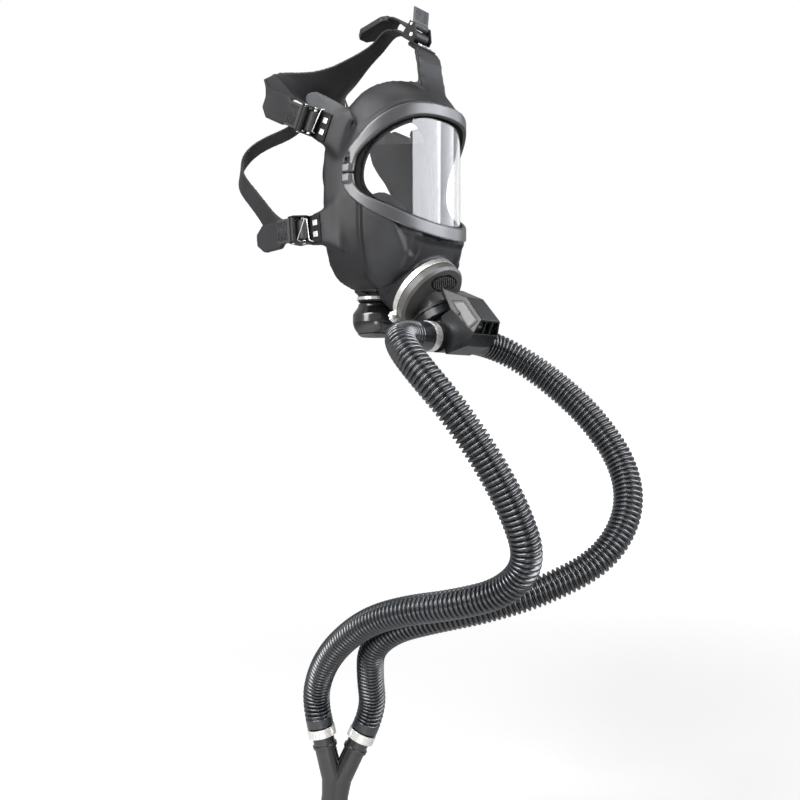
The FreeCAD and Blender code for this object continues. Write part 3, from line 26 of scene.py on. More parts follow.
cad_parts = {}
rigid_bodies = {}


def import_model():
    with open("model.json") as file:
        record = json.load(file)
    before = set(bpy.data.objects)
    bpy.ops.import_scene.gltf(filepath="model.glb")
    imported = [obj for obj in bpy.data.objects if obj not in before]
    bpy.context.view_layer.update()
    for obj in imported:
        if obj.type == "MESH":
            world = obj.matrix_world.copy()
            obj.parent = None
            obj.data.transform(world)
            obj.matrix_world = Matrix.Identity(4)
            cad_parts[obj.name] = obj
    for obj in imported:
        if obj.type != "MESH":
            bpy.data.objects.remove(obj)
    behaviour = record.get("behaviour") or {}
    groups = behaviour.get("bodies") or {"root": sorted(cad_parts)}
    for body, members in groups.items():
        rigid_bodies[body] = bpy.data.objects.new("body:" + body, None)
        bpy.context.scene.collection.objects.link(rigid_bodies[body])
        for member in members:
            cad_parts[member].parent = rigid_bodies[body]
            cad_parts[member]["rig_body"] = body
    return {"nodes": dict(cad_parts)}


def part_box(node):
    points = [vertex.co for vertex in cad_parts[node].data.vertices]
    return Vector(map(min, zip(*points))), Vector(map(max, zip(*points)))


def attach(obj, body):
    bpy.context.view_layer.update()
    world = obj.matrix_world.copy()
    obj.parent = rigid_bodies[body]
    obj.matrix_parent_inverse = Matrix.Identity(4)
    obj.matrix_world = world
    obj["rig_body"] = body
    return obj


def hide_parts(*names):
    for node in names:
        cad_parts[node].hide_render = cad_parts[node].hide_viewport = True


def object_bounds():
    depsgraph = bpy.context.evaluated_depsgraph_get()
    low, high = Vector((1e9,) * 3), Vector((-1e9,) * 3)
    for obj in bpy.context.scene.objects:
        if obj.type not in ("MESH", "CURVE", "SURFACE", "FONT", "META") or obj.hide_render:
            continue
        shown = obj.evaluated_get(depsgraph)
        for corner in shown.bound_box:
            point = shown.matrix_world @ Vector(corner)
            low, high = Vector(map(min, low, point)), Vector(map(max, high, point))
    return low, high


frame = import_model()
CAD_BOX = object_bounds()
LOG = logging.getLogger("respirator")
MASK_BODY = "mask"
MASK_MIDDLE = (0.0, -0.03, 0.02)

Colour = tuple[float, float, float]
Point = tuple[float, float, float]
Pair = tuple[float, float]  # two measures, such as a place in a side view or a width and a height
Span = tuple[float, float]  # where a smooth step starts and ends


class Slot(str, Enum):
    """The record's material slots."""

    BLANK = "blank_rubber"
    STRAP = "strap_rubber"
    GASKET = "gasket_rubber"
    LENS = "lens_clear"
    FRAME = "frame_plastic"
    CONNECTOR = "connector_plastic"
    MANIFOLD = "manifold_plastic"
    BRIGHT = "bright_steel"
    BUCKLE = "buckle_steel"
    LEVER = "lever_steel"
    CUP = "cup_rubber"
    VALVE = "valve_silicone"
    SEAT = "seat_plastic"
    HOSE = "hose_rubber"
    Y_PLASTIC = "y_plastic"


class Kind(str, Enum):
    """Socket types of a geometry tree's named inputs."""

    LENGTH = "NodeSocketFloat"
    COUNT = "NodeSocketInt"
    FINISH = "NodeSocketMaterial"


class Run(str, Enum):
    """How a curve goes between its places."""

    STRAIGHT = "POLY"
    SMOOTH = "NURBS"


# ---------------------------------------------------------------- node trees
def operator(operation: str, swapped: bool = False) -> Callable[[Link, Value], Link]:
    """Make the method behind one operator of Link.

    Args:
        operation: the Math node's operation.
        swapped: whether the other value comes first, as in a reflected operator.

    Returns:
        A method that adds the Math node.
    """
    def method(link: Link, other: Value) -> Link:
        """Add the Math node for two values and return its result."""
        first, second = (other, link) if swapped else (link, other)
        return link.maker.add("ShaderNodeMath", {"operation": operation}, {0: first, 1: second})
    return method


class Link:
    """A node's output socket that adds Math nodes when it is used in an expression."""

    def __init__(self, maker: TreeMaker, socket: bpy.types.NodeSocket | None) -> None:
        """Wrap one output socket of the maker's tree."""
        self.maker = maker
        self.socket = socket

    __add__, __radd__ = operator("ADD"), operator("ADD", swapped=True)
    __sub__, __rsub__ = operator("SUBTRACT"), operator("SUBTRACT", swapped=True)
    __mul__, __rmul__ = operator("MULTIPLY"), operator("MULTIPLY", swapped=True)
    __truediv__ = operator("DIVIDE")
    __pow__ = operator("POWER")
    greater_than = operator("GREATER_THAN")
    larger_of = operator("MAXIMUM")

    def sine(self) -> Link:
        """Sine of a value in radians."""
        return self.maker.add("ShaderNodeMath", {"operation": "SINE"}, {0: self})


Value = Union[Link, float, int, str, bool, Sequence[float]]


class TreeMaker:
    """Builds a shader or geometry tree, one node at a time."""

    def __init__(self, tree: bpy.types.NodeTree) -> None:
        """Start on an empty tree."""
        self.tree = tree
        tree.nodes.clear()

    def add(self, kind: str, settings: Mapping[str, object] | None = None,
            values: Mapping[int | str, Value] | None = None, output: int | str = 0) -> Link:
        """Add a node.

        Args:
            kind: the node's type name.
            settings: attributes, set before any socket.
            values: input socket, by place or identifier, to a link or a value.
            output: the output to return, by place or identifier.

        Returns:
            The chosen output.
        """
        node = self.tree.nodes.new(kind)
        for name, value in (settings or {}).items():
            setattr(node, name, value)
        for key, value in (values or {}).items():
            socket = self._socket(node.inputs, key)
            if isinstance(value, Link):
                self.tree.links.new(value.socket, socket)
            else:
                socket.default_value = value
        return Link(self, self._socket(node.outputs, output) if node.outputs else None)

    def sibling(self, link: Link, output: int | str) -> Link:
        """Another output of the node that a link comes from."""
        return Link(self, self._socket(link.socket.node.outputs, output))

    @staticmethod
    def _socket(sockets: Iterable[bpy.types.NodeSocket], key: int | str) -> bpy.types.NodeSocket:
        """The socket in that place or with that identifier."""
        return next(socket for place, socket in enumerate(sockets) if key in (place, socket.identifier))


class ShaderMaker(TreeMaker):
    """A material's tree with the noises and mixes that the finishes share."""

    def __init__(self, name: str) -> None:
        """Make the material and its object coordinates.

        Args:
            name: the material's name.
        """
        self.material = bpy.data.materials.new(name)
        self.material.use_nodes = True
        super().__init__(self.material.node_tree)
        self.place = self.add("ShaderNodeTexCoord", output="Object")

    def attribute(self, name: str) -> Link:
        """A number that the piece's mesh carries."""
        return self.add("ShaderNodeAttribute", {"attribute_name": name}, None, "Fac")

    def noise(self, scale: float, detail: float, stretch: Point = (1, 1, 1), soft: float = 0.5) -> Link:
        """Smooth noise over the piece.

        Args:
            scale: how fine it is.
            detail: how many finer layers it has.
            stretch: its scale along the axes.
            soft: how strong the finer layers are.

        Returns:
            The noise, about 0.5 in the middle.
        """
        place = self.add("ShaderNodeMapping", None, {0: self.place, 3: stretch})
        return self.add("ShaderNodeTexNoise", {"noise_dimensions": "3D"},
                        {"Vector": place, "Scale": scale, "Detail": detail, "Roughness": soft}, "Fac")

    def ramp(self, factor: Link, low: float, high: float) -> Link:
        """Stretch a range of a value to 0..1, clamped."""
        return self.add("ShaderNodeMapRange", {"clamp": True},
                        {"Value": factor, "From Min": low, "From Max": high}, "Result")

    def mix(self, factor: Value, first: Link | Colour, second: Link | Colour) -> Link:
        """Mix two colours.

        Args:
            factor: share of the second.
            first: a colour or its link.
            second: a colour or its link.

        Returns:
            The mixed colour.
        """
        both = [(*colour, 1.0) if isinstance(colour, tuple) else colour for colour in (first, second)]
        return self.add("ShaderNodeMix", {"data_type": "RGBA"},
                        {"Factor_Float": factor, "A_Color": both[0], "B_Color": both[1]}, "Result_Color")

    def bump(self, height: Link, strength: float, distance: float, normal: Link | None = None) -> Link:
        """Turn a height into a normal.

        Args:
            height: the relief.
            strength: how much of it shows.
            distance: its depth.
            normal: the normal that it is laid on, if not the piece's own.

        Returns:
            The new normal.
        """
        values = {"Height": height, "Strength": strength, "Distance": distance}
        if normal is not None:
            values["Normal"] = normal
        return self.add("ShaderNodeBump", None, values, "Normal")

    def rounded(self, radius: float) -> Link:
        """Normal that rounds the edges by a small radius."""
        return self.add("ShaderNodeBevel", {"samples": 6}, {"Radius": radius}, "Normal")

    def surface(self, values: Mapping[int | str, Value]) -> bpy.types.Material:
        """End the tree in a Principled surface and return the material."""
        shader = self.add("ShaderNodeBsdfPrincipled", None, values, "BSDF")
        self.add("ShaderNodeOutputMaterial", None, {"Surface": shader})
        return self.material


class ShapeMaker(TreeMaker):
    """A geometry tree with named inputs."""

    def __init__(self, name: str, inputs: Mapping[Kind, Sequence[str]]) -> None:
        """Make the tree and its inputs.

        Args:
            name: the tree's name.
            inputs: the names of the inputs of each kind; the geometry comes first by itself.
        """
        super().__init__(bpy.data.node_groups.new(name, "GeometryNodeTree"))
        for way in ("OUTPUT", "INPUT"):
            self.tree.interface.new_socket("Geometry", in_out=way, socket_type="NodeSocketGeometry")
        for kind, labels in inputs.items():
            for label in labels:
                self.tree.interface.new_socket(label, in_out="INPUT", socket_type=kind.value)
        start = self.add("NodeGroupInput")
        self.given = {socket.name: Link(self, socket) for socket in start.socket.node.outputs if socket.name}

    def joined(self, shapes: Sequence[Link]) -> Link:
        """Join shapes into one.

        Args:
            shapes: links to the shapes.

        Returns:
            The joined shape.
        """
        whole = self.add("GeometryNodeJoinGeometry")
        for shape in shapes:
            self.tree.links.new(shape.socket, whole.socket.node.inputs[0])
        return whole

    def realised(self, shape: Link, finish: str = "Material") -> Link:
        """Turn a shape's copies into real ones and give it the material of a named input."""
        real = self.add("GeometryNodeRealizeInstances", None, {0: shape})
        return self.add("GeometryNodeSetMaterial", None, {"Geometry": real, "Material": self.given[finish]})

    def closed(self, shape: Link) -> bpy.types.NodeTree:
        """End the tree in its output and return it."""
        self.add("NodeGroupOutput", None, {0: shape})
        return self.tree


# ---------------------------------------------------------------- finishes
@dataclass(frozen=True)
class Rubber:
    """Moulded rubber: soft gloss that varies, a fine moulded grain and dust in clouds and flecks.

    The attribute "hollow" marks the grooves, which are darkened with painted shade, and the sheen attribute
    marks faces that get a pale painted sheen.
    """

    name: str
    colour: Colour
    dusty: Colour
    roughness: float = 0.46
    grain: float = 0.25
    ripple: float = 0.3
    gloss: float = 0.5
    # how strong the painted shade in the marked grooves is, and the pale painted sheen on marked faces
    groove_shade: float = 0.0
    painted_sheen: float = 0.0
    # colour of the painted sheen, how dark the painted groove shade gets, and the sheen's least share
    sheen_colour: Colour = (0.090, 0.092, 0.098)
    groove_shade_share: float = 0.15
    least_sheen: float = 0.6
    cloud_scale: float = 22.0
    cloud_span: Span = (0.35, 0.7)
    cloud_share: float = 0.55
    fleck_scale: float = 420.0
    fleck_span: Span = (0.6, 0.82)
    fleck_share: float = 0.16
    fleck_dulling: float = 0.06
    patch_scale: float = 60.0
    patch_depth: float = 0.16
    ripple_scale: float = 34.0
    ripple_height: float = 0.0012
    grain_scale: float = 1900.0
    grain_height: float = 0.00008

    def make(self) -> bpy.types.Material:
        """Build the material.

        Returns:
            The material.
        """
        maker = ShaderMaker(self.name)
        cloud = maker.ramp(maker.noise(self.cloud_scale, 4.0), *self.cloud_span)
        fleck = maker.ramp(maker.noise(self.fleck_scale, 2.0), *self.fleck_span)
        colour = maker.mix(cloud * self.cloud_share, self.colour, self.dusty)
        colour = maker.mix(fleck * self.fleck_share, colour, self.dusty)
        # painted shade: the marked grooves darken towards a fraction of the colour
        if self.groove_shade:
            shade_colour = tuple(self.groove_shade_share * part for part in self.colour)
            colour = maker.mix(maker.attribute("hollow") * self.groove_shade, colour, shade_colour)
        # painted sheen: a pale grey laid in clouds on the faces that the mesh marks
        if self.painted_sheen:
            sheen_share = maker.attribute("painted_sheen") * (self.least_sheen + (1 - self.least_sheen) * cloud)
            colour = maker.mix(sheen_share * self.painted_sheen, colour, self.sheen_colour)
        patch = (maker.noise(self.patch_scale, 3.0) - 0.5) * self.patch_depth
        wave = maker.bump(maker.noise(self.ripple_scale, 2.0), self.ripple, self.ripple_height)
        normal = maker.bump(maker.noise(self.grain_scale, 2.0), self.grain, self.grain_height, wave)
        return maker.surface({"Base Color": colour, "Normal": normal, "Specular IOR Level": self.gloss,
                              "Roughness": self.roughness + patch + fleck * self.fleck_dulling})


@dataclass(frozen=True)
class Plastic:
    """Injection-moulded plastic: satin skin with a light orange-peel, scuffs and rounded edges."""

    name: str
    colour: Colour
    worn: Colour
    roughness: float = 0.34
    peel: float = 0.12
    edge: float = 0.0005
    gloss: float = 0.5
    cloud_scale: float = 30.0
    cloud_span: Span = (0.35, 0.75)
    cloud_share: float = 0.4
    scuff_scale: float = 260.0
    scuff_stretch: Point = (1, 1, 0.3)
    scuff_span: Span = (0.62, 0.75)
    scuff_share: float = 0.12
    scuff_dulling: float = 0.1
    patch_scale: float = 85.0
    patch_depth: float = 0.14
    peel_scale: float = 1100.0
    peel_height: float = 0.0001

    def make(self) -> bpy.types.Material:
        """Build the material.

        Returns:
            The material.
        """
        maker = ShaderMaker(self.name)
        cloud = maker.ramp(maker.noise(self.cloud_scale, 3.0), *self.cloud_span)
        scuff = maker.ramp(maker.noise(self.scuff_scale, 5.0, self.scuff_stretch, 0.65), *self.scuff_span)
        colour = maker.mix(cloud * self.cloud_share + scuff * self.scuff_share, self.colour, self.worn)
        patch = (maker.noise(self.patch_scale, 3.0) - 0.5) * self.patch_depth
        normal = maker.bump(maker.noise(self.peel_scale, 2.0), self.peel, self.peel_height,
                            maker.rounded(self.edge))
        return maker.surface({"Base Color": colour, "Normal": normal, "Specular IOR Level": self.gloss,
                              "Roughness": self.roughness + patch + scuff * self.scuff_dulling})


@dataclass(frozen=True)
class Metal:
    """Sheet or drawn metal: long fine brushing, darker stains and rounded edges."""

    name: str
    colour: Colour
    dark: Colour
    roughness: float = 0.22
    brushing: Point = (1, 1, 12)
    edge: float = 0.0003
    metallic: float = 1.0
    gloss: float = 0.5
    brush_scale: float = 900.0
    brush_strength: float = 0.08
    brush_height: float = 0.00005
    brush_dulling: float = 0.18
    stain_scale: float = 140.0
    stain_span: Span = (0.45, 0.8)
    stain_share: float = 0.45
    stain_dulling: float = 0.1

    def make(self) -> bpy.types.Material:
        """Build the material.

        Returns:
            The material.
        """
        maker = ShaderMaker(self.name)
        lines = maker.noise(self.brush_scale, 3.0, self.brushing)
        stain = maker.ramp(maker.noise(self.stain_scale, 4.0), *self.stain_span)
        rough = self.roughness + (lines - 0.5) * self.brush_dulling + stain * self.stain_dulling
        normal = maker.bump(lines, self.brush_strength, self.brush_height, maker.rounded(self.edge))
        return maker.surface({"Base Color": maker.mix(stain * self.stain_share, self.colour, self.dark),
                              "Roughness": rough, "Normal": normal, "Metallic": self.metallic,
                              "Specular IOR Level": self.gloss})


@dataclass(frozen=True)
class ClearSheet:
    """Moulded clear polycarbonate with a faint wipe pattern in its gloss."""

    name: str
    colour: Colour = (0.985, 0.985, 0.995)
    ior: float = 1.45
    wipe_scale: float = 26.0
    wipe_stretch: Point = (1, 1, 0.25)
    wipe_span: Span = (0.5, 0.8)
    polish: float = 0.003
    haze: float = 0.012

    def make(self) -> bpy.types.Material:
        """Build the material.

        Returns:
            The material.
        """
        maker = ShaderMaker(self.name)
        wipe = maker.ramp(maker.noise(self.wipe_scale, 4.0, self.wipe_stretch), *self.wipe_span)
        return maker.surface({"Base Color": (*self.colour, 1.0), "Roughness": self.polish + wipe * self.haze,
                              "IOR": self.ior, "Transmission Weight": 1.0})


FINISHES = {
    # the blank carries a pale painted sheen on its tongues and cheek shields
    Slot.BLANK: Rubber("blank_rubber_skin", (0.009, 0.009, 0.010), (0.024, 0.025, 0.029), roughness=0.47,
                       grain=0.2, ripple=0.45, gloss=0.32, painted_sheen=0.85),
    Slot.STRAP: Rubber("strap_rubber_skin", (0.013, 0.013, 0.014), (0.030, 0.030, 0.034), roughness=0.47,
                       grain=0.1, ripple=0.15, gloss=0.36),
    Slot.GASKET: Rubber("gasket_rubber_skin", (0.002, 0.002, 0.002), (0.004, 0.004, 0.004), roughness=0.6,
                        grain=0.1, ripple=0.1, gloss=0.1),
    Slot.FRAME: Plastic("frame_plastic_skin", (0.036, 0.036, 0.040), (0.052, 0.053, 0.059), roughness=0.35,
                        peel=0.05, gloss=0.8),
    Slot.CONNECTOR: Plastic("connector_plastic_skin", (0.086, 0.084, 0.082), (0.128, 0.125, 0.122)),
    Slot.MANIFOLD: Plastic("manifold_plastic_skin", (0.007, 0.008, 0.009), (0.020, 0.022, 0.025),
                           roughness=0.30, peel=0.1, edge=0.0008, gloss=0.35),
    Slot.BRIGHT: Metal("bright_steel_skin", (0.84, 0.83, 0.80), (0.56, 0.55, 0.53), roughness=0.26,
                       metallic=0.65),
    Slot.BUCKLE: Metal("buckle_steel_skin", (0.007, 0.007, 0.008), (0.018, 0.018, 0.020), roughness=0.42,
                       brushing=(1, 1, 1), edge=0.0004, metallic=0.1, gloss=0.35),
    Slot.LEVER: Metal("lever_steel_skin", (0.085, 0.086, 0.090), (0.045, 0.045, 0.048), roughness=0.55,
                      metallic=0.3, gloss=0.3),
    Slot.CUP: Rubber("cup_rubber_skin", (0.009, 0.009, 0.010), (0.020, 0.020, 0.023), roughness=0.5,
                     grain=0.2, ripple=0.2, gloss=0.3),
    Slot.VALVE: Rubber("valve_silicone_skin", (0.42, 0.42, 0.38), (0.55, 0.54, 0.50), roughness=0.4,
                       grain=0.1, ripple=0.1),
    Slot.SEAT: Plastic("seat_plastic_skin", (0.06, 0.06, 0.063), (0.10, 0.10, 0.105), roughness=0.42,
                       peel=0.1, edge=0.0003),
    # the hose's grooves are darkened with painted shade
    Slot.HOSE: Rubber("hose_rubber_skin", (0.009, 0.011, 0.014), (0.027, 0.033, 0.044), roughness=0.24,
                      grain=0.1, ripple=0.05, gloss=0.95, groove_shade=0.97),
    Slot.Y_PLASTIC: Plastic("y_plastic_skin", (0.006, 0.006, 0.007), (0.020, 0.021, 0.023), roughness=0.22,
                            peel=0.1, gloss=1.0),
    Slot.LENS: ClearSheet("lens_clear_sheet"),
}


@cache
def material_of(slot: Slot) -> bpy.types.Material:
    """The material of a slot, built on first use."""
    return FINISHES[slot].make()


def dress(piece: bpy.types.Object, slot: Slot) -> bpy.types.Object:
    """Give a piece its finish.

    Args:
        piece: a new piece or a frame node.
        slot: its material slot.

    Returns:
        The same piece.
    """
    piece.data.materials.clear()
    piece.data.materials.append(material_of(slot))
    return piece


# ---------------------------------------------------------------- mesh helpers
@dataclass(frozen=True)
class Skin:
    """How a moulding is skinned anew: the grid size, and how many times it is relaxed."""

    voxel: float
    rounds: int


def link_new(name: str, data: bpy.types.ID) -> bpy.types.Object:
    """Put a mesh, curve, lamp or camera into the scene at the origin.

    Args:
        name: the object's name.
        data: what it holds.

    Returns:
        The new object.
    """
    obj = bpy.data.objects.new(name, data)
    bpy.context.scene.collection.objects.link(obj)
    return obj


def piece_from(name: str, mesh: bmesh.types.BMesh) -> bpy.types.Object:
    """Turn mesh code's result into a new piece.

    Args:
        name: the piece's name.
        mesh: the result, which is used up.

    Returns:
        The piece.
    """
    data = bpy.data.meshes.new(name)
    mesh.to_mesh(data)
    mesh.free()
    return link_new(name, data)


def skin_of(node: str) -> bpy.types.Object:
    """Copy a frame node as a new piece, with its loose triangles joined into skins.

    Args:
        node: the node's name.

    Returns:
        The piece, called the node's moulding.
    """
    joined = bmesh.new()
    joined.from_mesh(frame["nodes"][node].data)
    bmesh.ops.remove_doubles(joined, verts=joined.verts, dist=1e-5)
    return piece_from(node + "_moulding", joined)


def result_of(obj: bpy.types.Object) -> bpy.types.Mesh:
    """The mesh that an object's modifiers or curve make.

    Args:
        obj: the object.

    Returns:
        A new mesh.
    """
    bpy.context.view_layer.update()
    graph = bpy.context.evaluated_depsgraph_get()
    return bpy.data.meshes.new_from_object(obj.evaluated_get(graph))


def settle(piece: bpy.types.Object) -> None:
    """Replace a piece's mesh by what its modifiers make of it, drop them and shade it smooth.

    Args:
        piece: the piece.
    """
    old, new = piece.data, result_of(piece)
    piece.modifiers.clear()
    piece.data = new
    bpy.data.meshes.remove(old)
    piece.data.shade_smooth()


def relax(piece: bpy.types.Object, rounds: int, group: str = "") -> None:
    """Move each vertex halfway towards its neighbours' middle, some times over.

    Args:
        piece: the piece.
        rounds: how many times.
        group: the vertex group that limits it, if any.
    """
    smooth = piece.modifiers.new("relax", "SMOOTH")
    smooth.factor = 0.5
    smooth.iterations = rounds
    smooth.vertex_group = group
    settle(piece)


def soften(piece: bpy.types.Object, skin: Skin) -> None:
    """Skin a moulding anew at one grid size and relax it, which rounds its edges.

    Args:
        piece: the moulding.
        skin: the grid size and the rounds.
    """
    grid = piece.modifiers.new("grid", "REMESH")
    grid.mode = "VOXEL"
    grid.voxel_size = skin.voxel
    grid.adaptivity = 0.0
    relax(piece, skin.rounds)


def fill_rows(mesh: bmesh.types.BMesh, rows: Sequence[Sequence[bmesh.types.BMVert]], closed: bool) -> None:
    """Fill the sheet between rows of vertices.

    Args:
        mesh: where the faces go.
        rows: the rows, all of one length.
        closed: whether each row is a ring.
    """
    count = len(rows[0])
    for above, below in zip(rows, rows[1:]):
        for index in range(count if closed else count - 1):
            after = (index + 1) % count
            mesh.faces.new((above[index], above[after], below[after], below[index]))
    bmesh.ops.recalc_face_normals(mesh, faces=mesh.faces)


def give_wall(piece: bpy.types.Object, wall: float, subdivisions: int = 0) -> None:
    """Thicken a sheet by half its wall on each side.

    Args:
        piece: the sheet.
        wall: its thickness.
        subdivisions: how often it is rounded off afterwards.
    """
    thicken = piece.modifiers.new("wall", "SOLIDIFY")
    thicken.thickness = wall
    thicken.offset = 0.0
    if subdivisions:
        rounding = piece.modifiers.new("round", "SUBSURF")
        rounding.levels = rounding.render_levels = subdivisions
    settle(piece)


def curve_through(name: str, places: Sequence[Point], run: Run) -> bpy.types.Object:
    """Lay a curve through places.

    Args:
        name: the curve's name.
        places: its points, in order.
        run: how it goes between them.

    Returns:
        The curve's object.
    """
    curve = bpy.data.curves.new(name, "CURVE")
    curve.dimensions = "3D"
    spline = curve.splines.new(run.value)
    spline.points.add(len(places) - 1)
    for point, place in zip(spline.points, places):
        point.co = (*place, 1.0)
    return link_new(name, curve)


def read_vectors(items: bpy.types.bpy_prop_collection, vector: str) -> np.ndarray:
    """One vector of each item of a mesh's list as an array.

    Args:
        items: the list.
        vector: the vector's name.

    Returns:
        One row for each item.
    """
    flat = np.zeros(len(items) * 3, np.float32)
    items.foreach_get(vector, flat)
    return flat.reshape(-1, 3).astype(float)


def points_of(piece: bpy.types.Object) -> np.ndarray:
    """The piece's vertices as an array."""
    return read_vectors(piece.data.vertices, "co")


def put_points(piece: bpy.types.Object, points: np.ndarray) -> None:
    """Write the piece's vertices back."""
    piece.data.vertices.foreach_set("co", points.astype(np.float32).reshape(-1))
    piece.data.update()


def step_to(values: np.ndarray, low: float, high: float) -> np.ndarray:
    """Smooth step from 0 at low to 1 at high."""
    share = np.clip((values - low) / (high - low), 0.0, 1.0)
    return share * share * (3 - 2 * share)


def band(values: np.ndarray, rise: Span, fall: Span) -> np.ndarray:
    """Smooth band that rises from 0 to 1 over one span and falls back over another."""
    return step_to(values, *rise) * (1 - step_to(values, *fall))


def oval(first: np.ndarray, second: np.ndarray, middle: Pair, reach: Pair) -> np.ndarray:
    """How far points are from an oval's middle; 1 is on the oval.

    Args:
        first: the points' first measure.
        second: their second one.
        middle: the oval's middle in both.
        reach: its half widths.

    Returns:
        The distances.
    """
    return np.sqrt(((first - middle[0]) / reach[0]) ** 2 + ((second - middle[1]) / reach[1]) ** 2)


def own_axes(node: str) -> tuple[Vector, list[Vector], np.ndarray]:
    """Principal axes of a frame node.

    Args:
        node: the node's name.

    Returns:
        Its middle, its three axes with the widest first, and its vertices along them.
    """
    points = points_of(frame["nodes"][node])
    middle = points.mean(axis=0)
    axes = np.linalg.svd(points - middle, full_matrices=False)[2]
    return Vector(middle), [Vector(axis) for axis in axes], (points - middle) @ axes.T


def frame_matrix(origin: Vector, first: Vector, second: Vector, third: Vector) -> Matrix:
    """The matrix that takes X, Y and Z to three directions from an origin."""
    turn = Matrix((first.normalized(), second.normalized(), third.normalized())).transposed()
    return Matrix.Translation(origin) @ turn.to_4x4()


def grown(name: str, tree: bpy.types.NodeTree, values: Mapping[str, object],
          seed: bpy.types.Object | None = None, place: Matrix | None = None) -> bpy.types.Object:
    """Let a geometry tree make a piece.

    Args:
        name: the piece's name.
        tree: the geometry tree.
        values: its named inputs.
        seed: the object that it works on, which is used up, or none for a tree that starts from nothing.
        place: where the result goes, if not where the seed is.

    Returns:
        The new piece, a plain mesh at the origin.
    """
    holder = link_new(name + "_seed", bpy.data.meshes.new(name + "_seed")) if seed is None else seed
    modifier = holder.modifiers.new("grow", "NODES")
    modifier.node_group = tree
    for item in tree.interface.items_tree:
        if getattr(item, "in_out", "") == "INPUT" and item.name in values:
            modifier[item.identifier] = values[item.name]
    mesh = result_of(holder)
    mesh.name = name
    bpy.data.batch_remove((holder, holder.data))
    if place is not None:
        mesh.transform(place)
    piece = link_new(name, mesh)
    piece.data.shade_smooth()
    return piece


# ---------------------------------------------------------------- geometry trees
@cache
def hose_tree() -> bpy.types.NodeTree:
    """The tree that wraps a corrugated wall with plain cuffs round a curve.

    Returns:
        The tree; it marks the grooves with the attribute "hollow".
    """
    maker = ShapeMaker("convoluted_hose", {
        Kind.LENGTH: ("Radius", "Depth", "Pitch", "Cuff", "Far cuff", "Fade"),
        Kind.COUNT: ("Sides", "Rings"), Kind.FINISH: ("Material",)})
    given = maker.given
    whole = maker.add("GeometryNodeCurveLength", None, {0: given["Geometry"]})
    line = maker.add("GeometryNodeResampleCurve", None,
                     {"Curve": given["Geometry"], "Count": whole / given["Pitch"] * given["Rings"]})
    along = maker.add("GeometryNodeSplineParameter", None, None, "Length")
    hollow = ((along / given["Pitch"] * math.tau).sine() * 0.5 + 0.5) ** 2.0
    for reach, cuff in ((along, given["Cuff"]), (whole - along, given["Far cuff"])):
        clear = maker.add("ShaderNodeMapRange", {"clamp": True, "interpolation_type": "SMOOTHSTEP"},
                          {"Value": reach, "From Min": cuff, "From Max": cuff + given["Fade"]}, "Result")
        hollow = hollow * clear
    marked = maker.add("GeometryNodeStoreNamedAttribute", {"data_type": "FLOAT", "domain": "POINT"},
                       {"Geometry": line, "Name": "hollow", 3: hollow})
    ring = maker.add("GeometryNodeCurvePrimitiveCircle", None, {"Resolution": given["Sides"], "Radius": 1.0})
    wall = maker.add("GeometryNodeCurveToMesh", None,
                     {"Curve": marked, "Profile Curve": ring, "Fill Caps": True,
                      "Scale": given["Radius"] - hollow * given["Depth"]})
    return maker.closed(maker.realised(wall))


@cache
def rib_tree() -> bpy.types.NodeTree:
    """The tree that sets round-backed ribs side by side along Y.

    Returns:
        The tree.
    """
    maker = ShapeMaker("grip_ribs", {
        Kind.COUNT: ("Count", "Sides"), Kind.LENGTH: ("Spacing", "Length", "Radius"),
        Kind.FINISH: ("Material",)})
    given = maker.given
    step = maker.add("ShaderNodeCombineXYZ", None, {"Y": given["Spacing"]})
    row = maker.add("GeometryNodeMeshLine", {"mode": "OFFSET"}, {"Count": given["Count"], "Offset": step})
    bar = maker.add("GeometryNodeMeshCylinder", None,
                    {"Vertices": given["Sides"], "Radius": given["Radius"], "Depth": given["Length"]})
    ribs = maker.add("GeometryNodeInstanceOnPoints", None,
                     {"Points": row, "Instance": bar, "Rotation": (0.0, math.pi / 2, 0.0)})
    return maker.closed(maker.realised(ribs))


